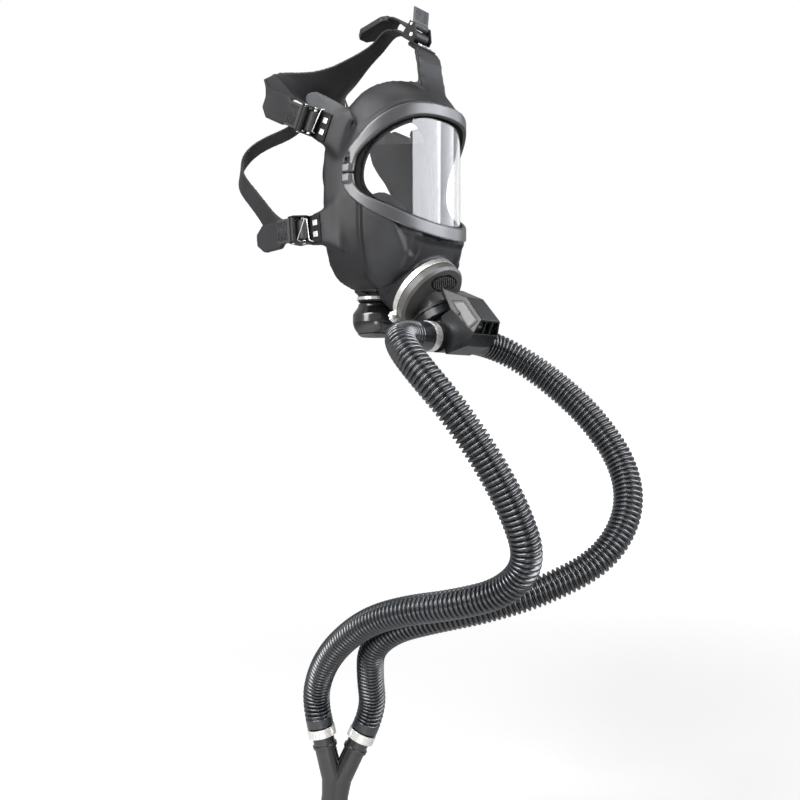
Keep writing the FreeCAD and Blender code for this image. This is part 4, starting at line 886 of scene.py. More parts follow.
@cache
def stud_field_tree() -> bpy.types.NodeTree:
    """The tree that sets small pyramids in diamond order on an oval plate.

    Returns:
        The tree; the plate takes the material "Ground".
    """
    maker = ShapeMaker("stud_field", {
        Kind.LENGTH: ("Half width", "Half height", "Pitch", "Stud", "Stud top", "Stud height", "Plate"),
        Kind.COUNT: ("Columns", "Rows"), Kind.FINISH: ("Ground", "Material")})
    given = maker.given
    wide, high, pitch, stud = given["Half width"], given["Half height"], given["Pitch"], given["Stud"]
    rows = []
    for shift in (0.0, 0.5):
        grid = maker.add("GeometryNodeMeshGrid", None,
                         {"Size X": pitch * given["Columns"], "Size Y": pitch * given["Rows"],
                          "Vertices X": given["Columns"] + 1, "Vertices Y": given["Rows"] + 1})
        move = maker.add("ShaderNodeCombineXYZ", None, {"X": pitch * shift, "Y": pitch * shift})
        rows.append(maker.add("GeometryNodeTransform", None, {"Geometry": grid, "Translation": move}))
    across = maker.add("ShaderNodeSeparateXYZ", None, {0: maker.add("GeometryNodeInputPosition")})
    up = maker.sibling(across, 1)
    reach = (across / (wide - stud)) ** 2.0 + (up / (high - stud)) ** 2.0
    kept = maker.add("GeometryNodeDeleteGeometry", {"domain": "POINT"},
                     {"Geometry": maker.joined(rows), "Selection": reach.greater_than(1.0)})
    cone = maker.add("GeometryNodeMeshCone", None,
                     {"Vertices": 4, "Radius Top": given["Stud top"], "Radius Bottom": stud,
                      "Depth": given["Stud height"]})
    studs = maker.add("GeometryNodeInstanceOnPoints", None, {"Points": kept, "Instance": cone})
    disc = maker.add("GeometryNodeMeshCylinder", None,
                     {"Vertices": 64, "Radius": 1.0, "Depth": given["Plate"]})
    oval = maker.add("ShaderNodeCombineXYZ", None, {"X": wide, "Y": high, "Z": 1.0})
    plate = maker.add("GeometryNodeTransform", None, {"Geometry": disc, "Scale": oval})
    return maker.closed(maker.joined((maker.realised(plate, "Ground"), maker.realised(studs))))


# ---------------------------------------------------------------- sub-assemblies
@dataclass
class Assembly:
    """A group of pieces with a name for the log."""

    title: str = "assembly"
    pieces: list[bpy.types.Object] = field(default_factory=list)

    def make(self) -> None:
        """Build and dress the group's pieces."""
        raise NotImplementedError(self.title)

    def dress_nodes(self, slots: Mapping[str, Slot]) -> None:
        """Give frame nodes that stay their finishes.

        Args:
            slots: node name to material slot.
        """
        for node, slot in slots.items():
            self.pieces.append(dress(frame["nodes"][node], slot))

    def place(self, piece: bpy.types.Object, slot: Slot, node: str | None = None,
              body: str = MASK_BODY) -> None:
        """Dress a new piece and put it on its body.

        Args:
            piece: the piece.
            slot: its material slot.
            node: the frame node that it stands in for, if any.
            body: the body that it rides on.
        """
        dress(piece, slot)
        if node is not None:
            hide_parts(node)
        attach(piece, body)
        self.pieces.append(piece)

    def soft_piece(self, node: str, slot: Slot, skin: Skin) -> bpy.types.Object:
        """Stand a softened skin in for a node, on the same body.

        Args:
            node: the frame node.
            slot: its material slot.
            skin: how it is skinned anew.

        Returns:
            The new piece.
        """
        piece = skin_of(node)
        soften(piece, skin)
        self.place(piece, slot, node, frame["nodes"][node]["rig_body"])
        return piece

    def report(self) -> None:
        """Log the assembly's pieces."""
        for piece in self.pieces:
            LOG.info("%s: %s, %d faces", self.title, piece.name, len(piece.data.polygons))


@dataclass
class FaceBlank(Assembly):
    """The rubber facepiece: outer skin, lug wings, cheek shields and snout, as one moulding."""

    title: str = "face blank"
    skin: Skin = Skin(0.00165, 3)
    middle: Point = (0.0, -0.040, -0.020)
    outer_turn: Span = (0.2, 0.5)
    # middle and half widths of the ovals round the wings' roots: along Z and Y, for the crown Z and X
    wings: tuple[tuple[Pair, Pair], ...] = (
        ((0.052, -0.050), (0.040, 0.024)), ((-0.037, -0.043), (0.042, 0.020)))
    crown: tuple[Pair, Pair] = ((0.100, 0.0), (0.030, 0.040))
    wing_fade: Span = (0.55, 1.15)
    wing_side: Span = (0.062, 0.070)
    crown_fade: Span = (0.5, 1.1)
    crown_height: Span = (0.076, 0.088)
    wing_rounds: int = 45
    weight_steps: int = 10
    # the cheek shield's outline along Y and Z
    shield: tuple[Pair, ...] = (
        (-0.069, -0.008), (-0.068, -0.043), (-0.068, -0.060), (-0.067, -0.078), (-0.064, -0.088),
        (-0.060, -0.094), (-0.080, -0.087), (-0.093, -0.076), (-0.099, -0.064), (-0.098, -0.048),
        (-0.094, -0.030))
    shield_side: Span = (0.018, 0.030)
    shield_rise: float = 0.0022
    shield_edge: float = 0.0022
    # share of the painted sheen on the cheek shields
    shield_sheen: float = 0.29
    crease: float = 0.0009
    crease_gap: float = 1.4
    crease_width: float = 0.0016
    snout_front: Span = (0.086, 0.096)
    snout_top: Span = (0.034, 0.044)
    snout_bottom: Span = (0.072, 0.086)
    recess_side: Span = (0.027, 0.031)
    rib_inner: Span = (0.030, 0.034)
    rib_outer: Span = (0.039, 0.044)
    rib_rise: float = 0.0022
    recess: float = 0.0018
    stem_foot: Span = (0.096, 0.114)
    stem_head: Span = (0.134, 0.149)
    stem_side: Span = (0.016, 0.030)
    stem_spread: float = 0.62
    tongue_wall: float = 0.0042
    tongue: tuple[Point, ...] = (
        (-0.0780, -0.0680, 0.0600), (-0.0790, -0.0630, 0.0715), (-0.0800, -0.0530, 0.0785),
        (-0.0815, -0.0360, 0.0870), (-0.0825, -0.0220, 0.0945), (-0.0828, -0.0140, 0.0955),
        (-0.0828, -0.0085, 0.0930), (-0.0828, -0.0080, 0.0880), (-0.0826, -0.0140, 0.0800),
        (-0.0822, -0.0260, 0.0730), (-0.0815, -0.0400, 0.0650), (-0.0800, -0.0550, 0.0560))
    tongue_side: Span = (0.076, 0.079)
    tongue_slope: float = 0.45
    tongue_height: Span = (0.040, 0.056)
    tongue_back: Span = (-0.066, -0.050)

    def make(self) -> None:
        """Skin the blank, blend its wings and raise its relief."""
        piece = skin_of("face_blank")
        self.add_tongues(piece)
        soften(piece, self.skin)
        self.blend_wings(piece)
        self.raise_relief(piece)
        self.place(piece, Slot.BLANK, "face_blank")

    def add_tongues(self, piece: bpy.types.Object) -> None:
        """Add the rounded tongue above each temple buckle to the skin before it is made anew.

        Args:
            piece: the blank.
        """
        mesh = bmesh.new()
        mesh.from_mesh(piece.data)
        half = self.tongue_wall / 2
        for side in (1, -1):
            near, far = ([mesh.verts.new((side * (x + shift), y, z)) for x, y, z in self.tongue]
                         for shift in (-half, half))
            hubs = [mesh.verts.new(sum((vertex.co for vertex in ring), Vector()) / len(ring))
                    for ring in (near, far)]
            made = []
            for index in range(len(near)):
                after = (index + 1) % len(near)
                made.append(mesh.faces.new((near[index], far[index], far[after], near[after])))
                made.append(mesh.faces.new((hubs[0], near[index], near[after])))
                made.append(mesh.faces.new((hubs[1], far[after], far[index])))
            bmesh.ops.recalc_face_normals(mesh, faces=made)
        mesh.to_mesh(piece.data)
        mesh.free()

    def blend_wings(self, piece: bpy.types.Object) -> None:
        """Relax the skin round the roots of the strap wings, so that they flow from the cheeks.

        Args:
            piece: the blank.
        """
        x, y, z = points_of(piece).T
        weights = (1 - step_to(oval(z, x, *self.crown), *self.crown_fade)) * step_to(z, *self.crown_height)
        for wing in self.wings:
            root = (1 - step_to(oval(z, y, *wing), *self.wing_fade)) * step_to(np.abs(x), *self.wing_side)
            weights = np.maximum(weights, root)
        group = piece.vertex_groups.new(name="wings")
        for step in range(1, self.weight_steps + 1):
            chosen = np.nonzero((weights > (step - 0.5) / self.weight_steps)
                                & (weights <= (step + 0.5) / self.weight_steps))[0]
            group.add(chosen.tolist(), step / self.weight_steps, "REPLACE")
        relax(piece, self.wing_rounds, group.name)
        piece.vertex_groups.clear()

    def raise_relief(self, piece: bpy.types.Object) -> None:
        """Raise the cheek shields and the snout on the outer skin, and widen the crown wing's stem.

        Args:
            piece: the blank.
        """
        points, normals = points_of(piece), read_vectors(piece.data.vertex_normals, "vector")
        outward = points - np.array(self.middle)
        outward /= np.linalg.norm(outward, axis=1)[:, None]
        outer = step_to(np.einsum("ij,ij->i", normals, outward), *self.outer_turn)
        inside = self.depth_in_shield(points[:, 1:])
        side = step_to(np.abs(points[:, 0]), *self.shield_side)
        shields = side * step_to(inside, -self.shield_edge, 3 * self.shield_edge)
        # mark the tongues and the shields for a pale painted sheen
        self.mark_painted_sheen(piece, points, outer, shields)
        rise = side * self.shield_relief(inside) + self.snout_relief(points)
        points = points + normals * (rise * outer)[:, None]
        stem = band(points[:, 2], self.stem_foot, self.stem_head)
        stem = stem * (1 - step_to(np.abs(points[:, 0]), *self.stem_side))
        points[:, 0] *= 1 + self.stem_spread * stem
        put_points(piece, points)

    def shield_relief(self, inside: np.ndarray) -> np.ndarray:
        """Height of the cheek shields with the crease round them.

        Args:
            inside: distance inside the shield's outline.

        Returns:
            The height over the skin.
        """
        crease = np.exp(-((inside + self.crease_gap * self.shield_edge) / self.crease_width) ** 2)
        return self.shield_rise * step_to(inside, -self.shield_edge, self.shield_edge) - self.crease * crease

    def snout_relief(self, points: np.ndarray) -> np.ndarray:
        """Height of the snout's two upright ribs, with a recess between them.

        Args:
            points: the blank's vertices.

        Returns:
            The height over the skin.
        """
        across = np.abs(points[:, 0])
        front = step_to(-points[:, 1], *self.snout_front)
        front = front * band(-points[:, 2], self.snout_top, self.snout_bottom)
        rib = band(across, self.rib_inner, self.rib_outer)
        middle = 1 - step_to(across, *self.recess_side)
        return front * (self.rib_rise * rib - self.recess * middle)

    def mark_painted_sheen(self, piece: bpy.types.Object, points: np.ndarray, outer: np.ndarray,
                   shields: np.ndarray) -> None:
        """Note where a pale painted sheen lies on the rubber: the tongues and the cheek shields.

        Args:
            piece: the blank.
            points: its vertices.
            outer: 1 on its outer skin.
            shields: 1 inside the cheek shields.
        """
        x, y, z = points.T
        tongues = step_to(np.abs(x), *self.tongue_side)
        tongues = tongues * step_to(z + self.tongue_slope * y, *self.tongue_height)
        marks = outer * np.maximum(self.shield_sheen * shields, tongues * step_to(y, *self.tongue_back))
        layer = piece.data.attributes.new("painted_sheen", "FLOAT", "POINT")
        layer.data.foreach_set("value", marks.astype(np.float32))

    def depth_in_shield(self, places: np.ndarray) -> np.ndarray:
        """Depth inside the shield's outline, seen from the side.

        Args:
            places: places along Y and Z.

        Returns:
            The distance to the outline, negative outside it.
        """
        corners = np.array(self.shield)
        nearest = np.full(len(places), 1.0)
        crossings = np.zeros(len(places), int)
        for start, end in zip(corners, np.roll(corners, -1, axis=0)):
            run = end - start
            share = np.clip((places - start) @ run / (run @ run), 0, 1)
            nearest = np.minimum(nearest, np.linalg.norm(places - start - share[:, None] * run, axis=1))
            spans = (start[1] > places[:, 1]) != (end[1] > places[:, 1])
            crossing = start[0] + (places[:, 1] - start[1]) / run[1] * run[0]
            crossings += (spans & (places[:, 0] < crossing)).astype(int)
        return np.where(crossings % 2 == 1, nearest, -nearest)


@dataclass
class FaceSeal(Assembly):
    """The soft lip that rolls in from the rim of the blank and lies on the wearer's face."""

    title: str = "face seal"
    centre_height: float = 0.004
    wall: float = 0.0018
    overlap: float = 0.004
    curl: float = 1.25
    steps: int = 9
    columns: int = 180
    side_limit: float = 0.0803
    rim_thickness: float = 0.0012
    look_every: int = 6  # degrees
    look_reach: float = 0.09  # radians
    rim_rounds: int = 3
    # the rim's height and its place along Y
    rim_line: tuple[Pair, ...] = (
        (-0.150, -0.029), (-0.092, -0.029), (-0.045, -0.027), (0.0, -0.027), (0.034, -0.0275),
        (0.053, -0.032), (0.069, -0.042), (0.0845, -0.057), (0.0965, -0.069), (0.1055, -0.083),
        (0.110, -0.099))
    # degrees from the top, and where the lip's free edge is there
    lip_edge: tuple[tuple[float, Point], ...] = (
        (0, (0.0, -0.070, 0.092)), (30, (0.045, -0.057, 0.0825)), (43, (0.061, -0.042, 0.069)),
        (47, (0.025, 0.003, 0.0705)), (54, (0.027, 0.004, 0.059)), (60, (0.030, 0.003, 0.049)),
        (66, (0.036, 0.000, 0.039)), (72, (0.044, -0.003, 0.030)), (85, (0.055, -0.007, 0.012)),
        (100, (0.055, -0.008, -0.008)), (115, (0.053, -0.006, -0.024)), (132, (0.057, -0.013, -0.048)),
        (150, (0.045, -0.020, -0.074)), (180, (0.0, -0.022, -0.086)))

    def make(self) -> None:
        """Roll the lip in from the rim."""
        turns = np.linspace(0, math.tau, self.columns, endpoint=False)
        folded = np.minimum(turns, math.tau - turns)
        sides = np.where(turns > math.pi, -1.0, 1.0)
        radius, level = self.rim(folded)
        rim = np.stack([sides * radius * np.sin(folded), level,
                        self.centre_height + radius * np.cos(folded)], axis=1)
        edge = self.lip(folded)
        edge[:, 0] *= sides
        mesh = bmesh.new()
        rows = []
        for step in range(-1, self.steps):
            share = max(step, 0) / (self.steps - 1)
            places = rim + (edge - rim) * share
            behind = self.overlap if step < 0 else 0.0
            places[:, 1] = level + (edge[:, 1] - level) * share ** self.curl - behind
            rows.append([mesh.verts.new(place) for place in places])
        fill_rows(mesh, rows, closed=True)
        piece = piece_from("face_seal_lip", mesh)
        give_wall(piece, self.wall, subdivisions=1)
        self.place(piece, Slot.BLANK)

    def lip(self, turns: np.ndarray) -> np.ndarray:
        """The lip's free edge on the wearer's left.

        Args:
            turns: angles from the top.

        Returns:
            One point for each angle.
        """
        marks = [mark for mark, _ in self.lip_edge]
        return np.stack([np.interp(np.degrees(turns), marks, [place[axis] for _, place in self.lip_edge])
                         for axis in range(3)], axis=1)

    def rim(self, turns: np.ndarray) -> tuple[np.ndarray, np.ndarray]:
        """The blank's rim in some directions from the middle of the opening.

        Args:
            turns: angles from the top.

        Returns:
            Distance of the middle of the wall, and the rim's place along Y.
        """
        points = points_of(frame["nodes"]["face_blank"])
        heights, levels = np.array(self.rim_line).T
        points = points[np.abs(points[:, 0]) < self.side_limit]
        off_rim = np.abs(points[:, 1] - np.interp(points[:, 2], heights, levels))
        points = points[off_rim < self.rim_thickness]
        angle = np.arctan2(np.abs(points[:, 0]), points[:, 2] - self.centre_height)
        far = np.hypot(points[:, 0], points[:, 2] - self.centre_height)
        marks = np.radians(np.arange(0, 181, self.look_every))
        seen = [far[np.abs(angle - mark) < self.look_reach] for mark in marks]
        known = [(mark, (near.max() + near.min()) / 2) for mark, near in zip(marks, seen) if len(near)]
        radius = np.interp(turns, *zip(*known))
        for _ in range(self.rim_rounds):
            radius = (np.roll(radius, 1) + 2 * radius + np.roll(radius, -1)) / 4
        return radius, np.interp(self.centre_height + radius * np.cos(turns), heights, levels)


@dataclass
class Harness(Assembly):
    """The rubber head plate and the five straps with their pull tabs."""

    title: str = "harness"
    plate_skin: Skin = Skin(0.0009, 12)
    strap_skin: Skin = Skin(0.00062, 16)
    straps: tuple[str, ...] = (
        "temple_strap_right", "temple_strap_left", "neck_strap_right", "neck_strap_left", "crown_strap")

    def make(self) -> None:
        """Skin the plate and the straps."""
        self.soft_piece("head_plate", Slot.STRAP, self.plate_skin)
        for strap in self.straps:
            self.soft_piece(strap, Slot.STRAP, self.strap_skin)


class Buckle(str, Enum):
    """The five buckles, by the name that their nodes end in."""

    TEMPLE_RIGHT = "temple_right"
    TEMPLE_LEFT = "temple_left"
    NECK_RIGHT = "neck_right"
    NECK_LEFT = "neck_left"
    CROWN = "crown"


@dataclass
class Buckles(Assembly):
    """Bent steel buckles, their levers with ribbed thumb plates, bars, pins, rivets and wire keepers."""

    title: str = "buckles"
    rivet_skin: Skin = Skin(0.0003, 5)
    tip_depth: float = 0.0004
    root_place: float = -0.00185
    root_depth: float = 0.0002
    rib_count: int = 7
    rib_sides: int = 10
    rib_spacing: float = 0.0016
    rib_length: float = 0.0185
    rib_radius: float = 0.0004
    rib_inset: float = 0.0012
    wire_radius: float = 0.00050
    wire_roundness: int = 3
    temple_wire: tuple[Point, ...] = (
        (-0.0890, -0.0375, 0.0735), (-0.0930, -0.0372, 0.0725), (-0.0930, -0.0250, 0.0540),
        (-0.0890, -0.0247, 0.0530))
    neck_wire: tuple[Point, ...] = (
        (-0.0950, -0.0135, -0.0495), (-0.1012, -0.0140, -0.0485), (-0.1012, -0.0228, -0.0300),
        (-0.1012, -0.0246, -0.0296), (-0.1012, -0.0262, -0.0310), (-0.1012, -0.0290, -0.0500),
        (-0.0950, -0.0290, -0.0510))

    def make(self) -> None:
        """Dress the buckles, rib their levers and bend the keepers."""
        for buckle in Buckle:
            lever = Slot.LEVER if buckle is Buckle.CROWN else Slot.BUCKLE
            self.dress_nodes({"buckle_frame_" + buckle.value: Slot.BUCKLE,
                              "buckle_lever_" + buckle.value: lever})
            self.grip_ribs(buckle, lever)
        self.dress_nodes({"buckle_bars": Slot.BRIGHT, "buckle_pins": Slot.BRIGHT})
        self.soft_piece("buckle_rivets", Slot.BRIGHT, self.rivet_skin)
        for side, name in ((1, "right"), (-1, "left")):
            self.keeper("temple_keeper_" + name, self.temple_wire, side)
            self.keeper("neck_keeper_" + name, self.neck_wire, side)

    def grip_ribs(self, buckle: Buckle, slot: Slot) -> None:
        """Grow the ribs across a lever's thumb plate.

        Args:
            buckle: which buckle.
            slot: the lever's finish.
        """
        node = "buckle_lever_" + buckle.value
        centre, axes, local = own_axes(node)
        if local[:, 1].max() > -local[:, 1].min():
            axes[1] = -axes[1]
            local[:, 1] *= -1
        outward = 1.0 if axes[2].dot(centre - Vector(MASK_MIDDLE)) > 0 else -1.0
        tip = local[local[:, 1] < local[:, 1].min() + self.tip_depth]
        root = local[np.abs(local[:, 1] - self.root_place) < self.root_depth]
        start, end = (Vector((0.0, part[:, 1].mean(), (part[:, 2] * outward).max() * outward))
                      for part in (tip, root))
        run = (end - start).normalized()
        along = axes[1] * run.y + axes[2] * run.z
        across = axes[0]
        rise = across.cross(along)
        if rise.dot(axes[2] * outward) < 0:
            across, rise = -across, -rise
        first = centre + axes[1] * start.y + axes[2] * start.z + along * self.rib_inset
        values = {"Count": self.rib_count, "Sides": self.rib_sides, "Spacing": self.rib_spacing,
                  "Length": self.rib_length, "Radius": self.rib_radius, "Material": material_of(slot)}
        piece = grown("lever_ribs_" + buckle.value, rib_tree(), values,
                      place=frame_matrix(first, across, along, rise))
        self.place(piece, slot, body=frame["nodes"][node]["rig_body"])

    def keeper(self, name: str, path: Sequence[Point], side: int) -> None:
        """Bend a bright wire along a path.

        Args:
            name: the piece's name.
            path: its bends on the wearer's right.
            side: 1 for the right, -1 for the left.
        """
        line = curve_through(name, [(side * x, y, z) for x, y, z in path], Run.STRAIGHT)
        line.data.bevel_depth = self.wire_radius
        line.data.bevel_resolution = self.wire_roundness
        line.data.use_fill_caps = True
        mesh = result_of(line)
        bpy.data.batch_remove((line, line.data))
        piece = link_new(name, mesh)
        piece.data.shade_smooth()
        self.place(piece, Slot.BRIGHT)


@dataclass
class Visor(Assembly):
    """The curved clear lens, its gasket and the two halves of its clamping frame."""

    title: str = "visor"
    half_skin: Skin = Skin(0.0007, 26)
    axis_back: float = -0.0398
    middle_height: float = 0.022
    slide: float = 0.0052
    lug_height: float = 0.0145
    lug_fade: Span = (0.011, 0.036)

    def make(self) -> None:
        """Dress the visor."""
        self.dress_nodes({"lens": Slot.LENS, "lens_gasket": Slot.GASKET, "lens_frame_screws": Slot.BUCKLE})
        for half in ("lens_frame_upper", "lens_frame_lower"):
            self.draw_in(self.soft_piece(half, Slot.FRAME, self.half_skin))

    def draw_in(self, half: bpy.types.Object) -> None:
        """Slide half of the frame along the lens curve towards its middle, except at the screw lugs.

        Args:
            half: the upper or the lower half.
        """
        points = points_of(half)
        back = points[:, 1] - self.axis_back
        far = np.hypot(points[:, 0], back)
        along = far * np.arctan2(points[:, 0], -back)
        height = points[:, 2] - self.middle_height
        off_lugs = step_to(np.abs(points[:, 2] - self.lug_height), *self.lug_fade)
        share = 1 - self.slide * off_lugs / np.hypot(along, height)
        turn = along * share / far
        put_points(half, np.stack([far * np.sin(turn), self.axis_back - far * np.cos(turn),
                                   self.middle_height + height * share], axis=1))


@dataclass
class Connector(Assembly):
    """The front connector drum with its speech grille, clamp, coupling and inhalation valve."""

    title: str = "front connector"
    field_half_width: float = 0.0195
    field_half_height: float = 0.0090
    field_pitch: float = 0.0034
    field_stud: float = 0.00125
    field_stud_top: float = 0.0003125
    field_stud_height: float = 0.0010
    field_plate: float = 0.0006
    field_columns: int = 20
    field_rows: int = 10
    field_level: float = 0.0017
    crisp_angle: float = 20.0

    def make(self) -> None:
        """Dress the connector."""
        self.dress_nodes({
            "connector_housing": Slot.CONNECTOR, "connector_clamp": Slot.BRIGHT,
            "connector_clamp_screw": Slot.BRIGHT, "speech_diaphragm": Slot.SEAT,
            # the chrome claw ring takes the black buckle finish, which paints the dark reflection that it
            # shows
            "coupling_nut": Slot.MANIFOLD, "coupling_claw_ring": Slot.BUCKLE, "coupling_seal": Slot.GASKET,
            "inhalation_valve_seat": Slot.SEAT, "inhalation_valve_disc": Slot.VALVE})
        self.speech_field()

    def speech_field(self) -> None:
        """Lay the dark field of small pyramids over the speech opening, square to the drum's face."""
        centre, axes, _ = own_axes("speech_grille")
        outward = axes[2] if axes[2].y < 0 else -axes[2]
        across = Vector((1, 0, 0))
        values = {"Half width": self.field_half_width, "Half height": self.field_half_height,
                  "Pitch": self.field_pitch, "Stud": self.field_stud, "Stud top": self.field_stud_top,
                  "Stud height": self.field_stud_height, "Plate": self.field_plate,
                  "Columns": self.field_columns, "Rows": self.field_rows,
                  "Ground": material_of(Slot.GASKET), "Material": material_of(Slot.CONNECTOR)}
        place = frame_matrix(centre + outward * self.field_level, across, outward.cross(across), outward)
        piece = grown("speech_field", stud_field_tree(), values, place=place)
        piece.data.set_sharp_from_angle(angle=math.radians(self.crisp_angle))
        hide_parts("speech_grille")
        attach(piece, frame["nodes"]["speech_grille"]["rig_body"])
        self.pieces.append(piece)


@dataclass
class Manifold(Assembly):
    """The tee behind the coupling, its slotted exhaust hood and the relief valve under it."""

    title: str = "manifold"
    hood_skin: Skin = Skin(0.0005, 6)
    # the panel's corners along Y and Z
    panel: tuple[Pair, ...] = (
        (-0.1335, -0.1065), (-0.1455, -0.1070), (-0.1630, -0.1275), (-0.1550, -0.1355))
    panel_cells: int = 14
    panel_rise: float = 0.0009
    panel_sink: float = 0.0003
    panel_wall: float = 0.0006
    panel_edge: float = 0.12
    panel_end: float = 2.2
    outside: float = 0.1
    hood_half_width: float = 0.018

    def make(self) -> None:
        """Dress the manifold."""
        self.dress_nodes({"manifold": Slot.MANIFOLD, "hood_screws": Slot.SEAT,
                          "relief_valve_seat": Slot.SEAT, "relief_valve_disc": Slot.VALVE})
        hood = self.soft_piece("exhaust_hood", Slot.MANIFOLD, self.hood_skin)
        skin = BVHTree.FromPolygons([vertex.co for vertex in hood.data.vertices],
                                    [tuple(face.vertices) for face in hood.data.polygons])
        for side, name in ((-1, "right"), (1, "left")):
            self.highlight_panel(skin, side, "hood_highlight_panel_" + name)

    def highlight_panel(self, skin: BVHTree, side: int, name: str) -> None:
        """Lay a thin raised panel of lighter plastic on one slanted side of the hood; its pale colour paints
        the highlight on that face.

        Args:
            skin: the hood's surface.
            side: -1 for the wearer's right, 1 for the left.
            name: the piece's name.
        """
        mesh = bmesh.new()
        shares = [cell / self.panel_cells for cell in range(self.panel_cells + 1)]
        rows = [[mesh.verts.new(self.panel_point(skin, side, across, down)) for across in shares]
                for down in shares]
        fill_rows(mesh, rows, closed=False)
        piece = piece_from(name, mesh)
        give_wall(piece, self.panel_wall)
        # the connector's lighter grey paints the highlight on the hood's slanted face
        self.place(piece, Slot.CONNECTOR)

    def panel_point(self, skin: BVHTree, side: int, across: float, down: float) -> Point:
        """A point of the panel, raised over the hood and sunk into it along the edges.

        Args:
            skin: the hood's surface.
            side: -1 for the wearer's right, 1 for the left.
            across: share of the way from the panel's front edge to its back edge.
            down: share of the way from its top to its bottom.

        Returns:
            The point.
        """
        first, second, third, fourth = (np.array(corner) for corner in self.panel)
        y, z = ((first * (1 - across) + second * across) * (1 - down)
                + (fourth * (1 - across) + third * across) * down)
        hit = skin.ray_cast(Vector((side * self.outside, y, z)), Vector((-side, 0, 0)))[0]
        if hit is None:
            hit = skin.find_nearest(Vector((side * self.hood_half_width, y, z)))[0]
        edge = min(across, 1 - across, down * self.panel_end, (1 - down) * self.panel_end)
        proud = self.panel_rise * float(step_to(np.array(edge), 0.0, self.panel_edge)) - self.panel_sink
        return hit.x + side * proud, y, z


@dataclass
class ChinValve(Assembly):
    """The exhalation valve below the chin: bulbous housing, clamp ring, cover, seat and disc."""

    title: str = "chin valve"
    housing_skin: Skin = Skin(0.0007, 20)
    bulb_middle: float = -0.1165
    bulb_half_height: float = 0.0225
    bulb_radius: float = 0.0238
    bulb_power: float = 2.3
    bulb_end: float = 0.98
    wall_from: Span = (0.0150, 0.0175)
    neck_height: Span = (-0.1005, -0.0985)

    def make(self) -> None:
        """Dress the valve."""
        self.round_bulb(self.soft_piece("chin_valve_housing", Slot.Y_PLASTIC, self.housing_skin))
        self.dress_nodes({"chin_valve_ring": Slot.BRIGHT, "chin_valve_cover": Slot.CONNECTOR,
                          "chin_valve_seat": Slot.SEAT, "chin_valve_disc": Slot.VALVE})

    def round_bulb(self, bulb: bpy.types.Object) -> None:
        """Round the housing's straight wall and shoulders into a bulb.

        Args:
            bulb: the housing.
        """
        low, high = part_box("chin_valve_housing")
        points = points_of(bulb)
        middle = np.array([(low[0] + high[0]) / 2, (low[1] + high[1]) / 2])
        across = points[:, :2] - middle
        far = np.hypot(across[:, 0], across[:, 1])
        rise = np.clip(np.abs(points[:, 2] - self.bulb_middle) / self.bulb_half_height, 0, self.bulb_end)
        target = self.bulb_radius * (1 - rise ** self.bulb_power) ** (1 / self.bulb_power)
        outside = step_to(far, *self.wall_from) * (1 - step_to(points[:, 2], *self.neck_height))
        share = np.minimum(1.0, target / np.maximum(far, 1e-6))
        points[:, :2] = middle + across * (1 + (share - 1) * outside)[:, None]
        put_points(bulb, points)


@dataclass
class NoseCup(Assembly):
    """The inner cup over nose and mouth, and its two inlet valves."""

    title: str = "nose cup"
    cup_skin: Skin = Skin(0.0012, 5)
    bridge_spread: float = 0.55
    bridge_height: Span = (-0.026, -0.002)

    def make(self) -> None:
        """Skin the cup, spread its bridge and dress its valves."""
        cup = self.soft_piece("nose_cup", Slot.CUP, self.cup_skin)
        points = points_of(cup)
        points[:, 0] *= 1 + self.bridge_spread * step_to(points[:, 2], *self.bridge_height)
        put_points(cup, points)
        self.dress_nodes({"nose_cup_valve_seats": Slot.SEAT, "nose_cup_valve_right": Slot.VALVE,
                          "nose_cup_valve_left": Slot.VALVE})


RIGHT_ROUTE: tuple[Point, ...] = (
    (-0.039, -0.1165, -0.1404), (-0.062, -0.117, -0.1404), (-0.084, -0.123, -0.143), (-0.102, -0.140, -0.154),
    (-0.107, -0.163, -0.175), (-0.101, -0.190, -0.205), (-0.084, -0.214, -0.247), (-0.064, -0.231, -0.293),
    (-0.047, -0.237, -0.338), (-0.041, -0.206, -0.369), (-0.050, -0.158, -0.384), (-0.055, -0.110, -0.394),
    (-0.052, -0.066, -0.409), (-0.044, -0.028, -0.431), (-0.034, 0.006, -0.458), (-0.021, 0.033, -0.489),
    (-0.0124, 0.0453, -0.5183), (-0.0091, 0.0411, -0.5417))
LEFT_ROUTE: tuple[Point, ...] = (
    (0.039, -0.1165, -0.1404), (0.062, -0.118, -0.142), (0.086, -0.137, -0.154), (0.102, -0.172, -0.180),
    (0.110, -0.214, -0.218), (0.111, -0.248, -0.264), (0.093, -0.262, -0.308), (0.064, -0.248, -0.350),
    (0.028, -0.205, -0.378), (0.002, -0.158, -0.396), (-0.016, -0.110, -0.409), (-0.021, -0.066, -0.424),
    (-0.012, -0.030, -0.450), (0.006, -0.014, -0.484), (0.0254, -0.0031, -0.5248), (0.0192, 0.0049, -0.5466))


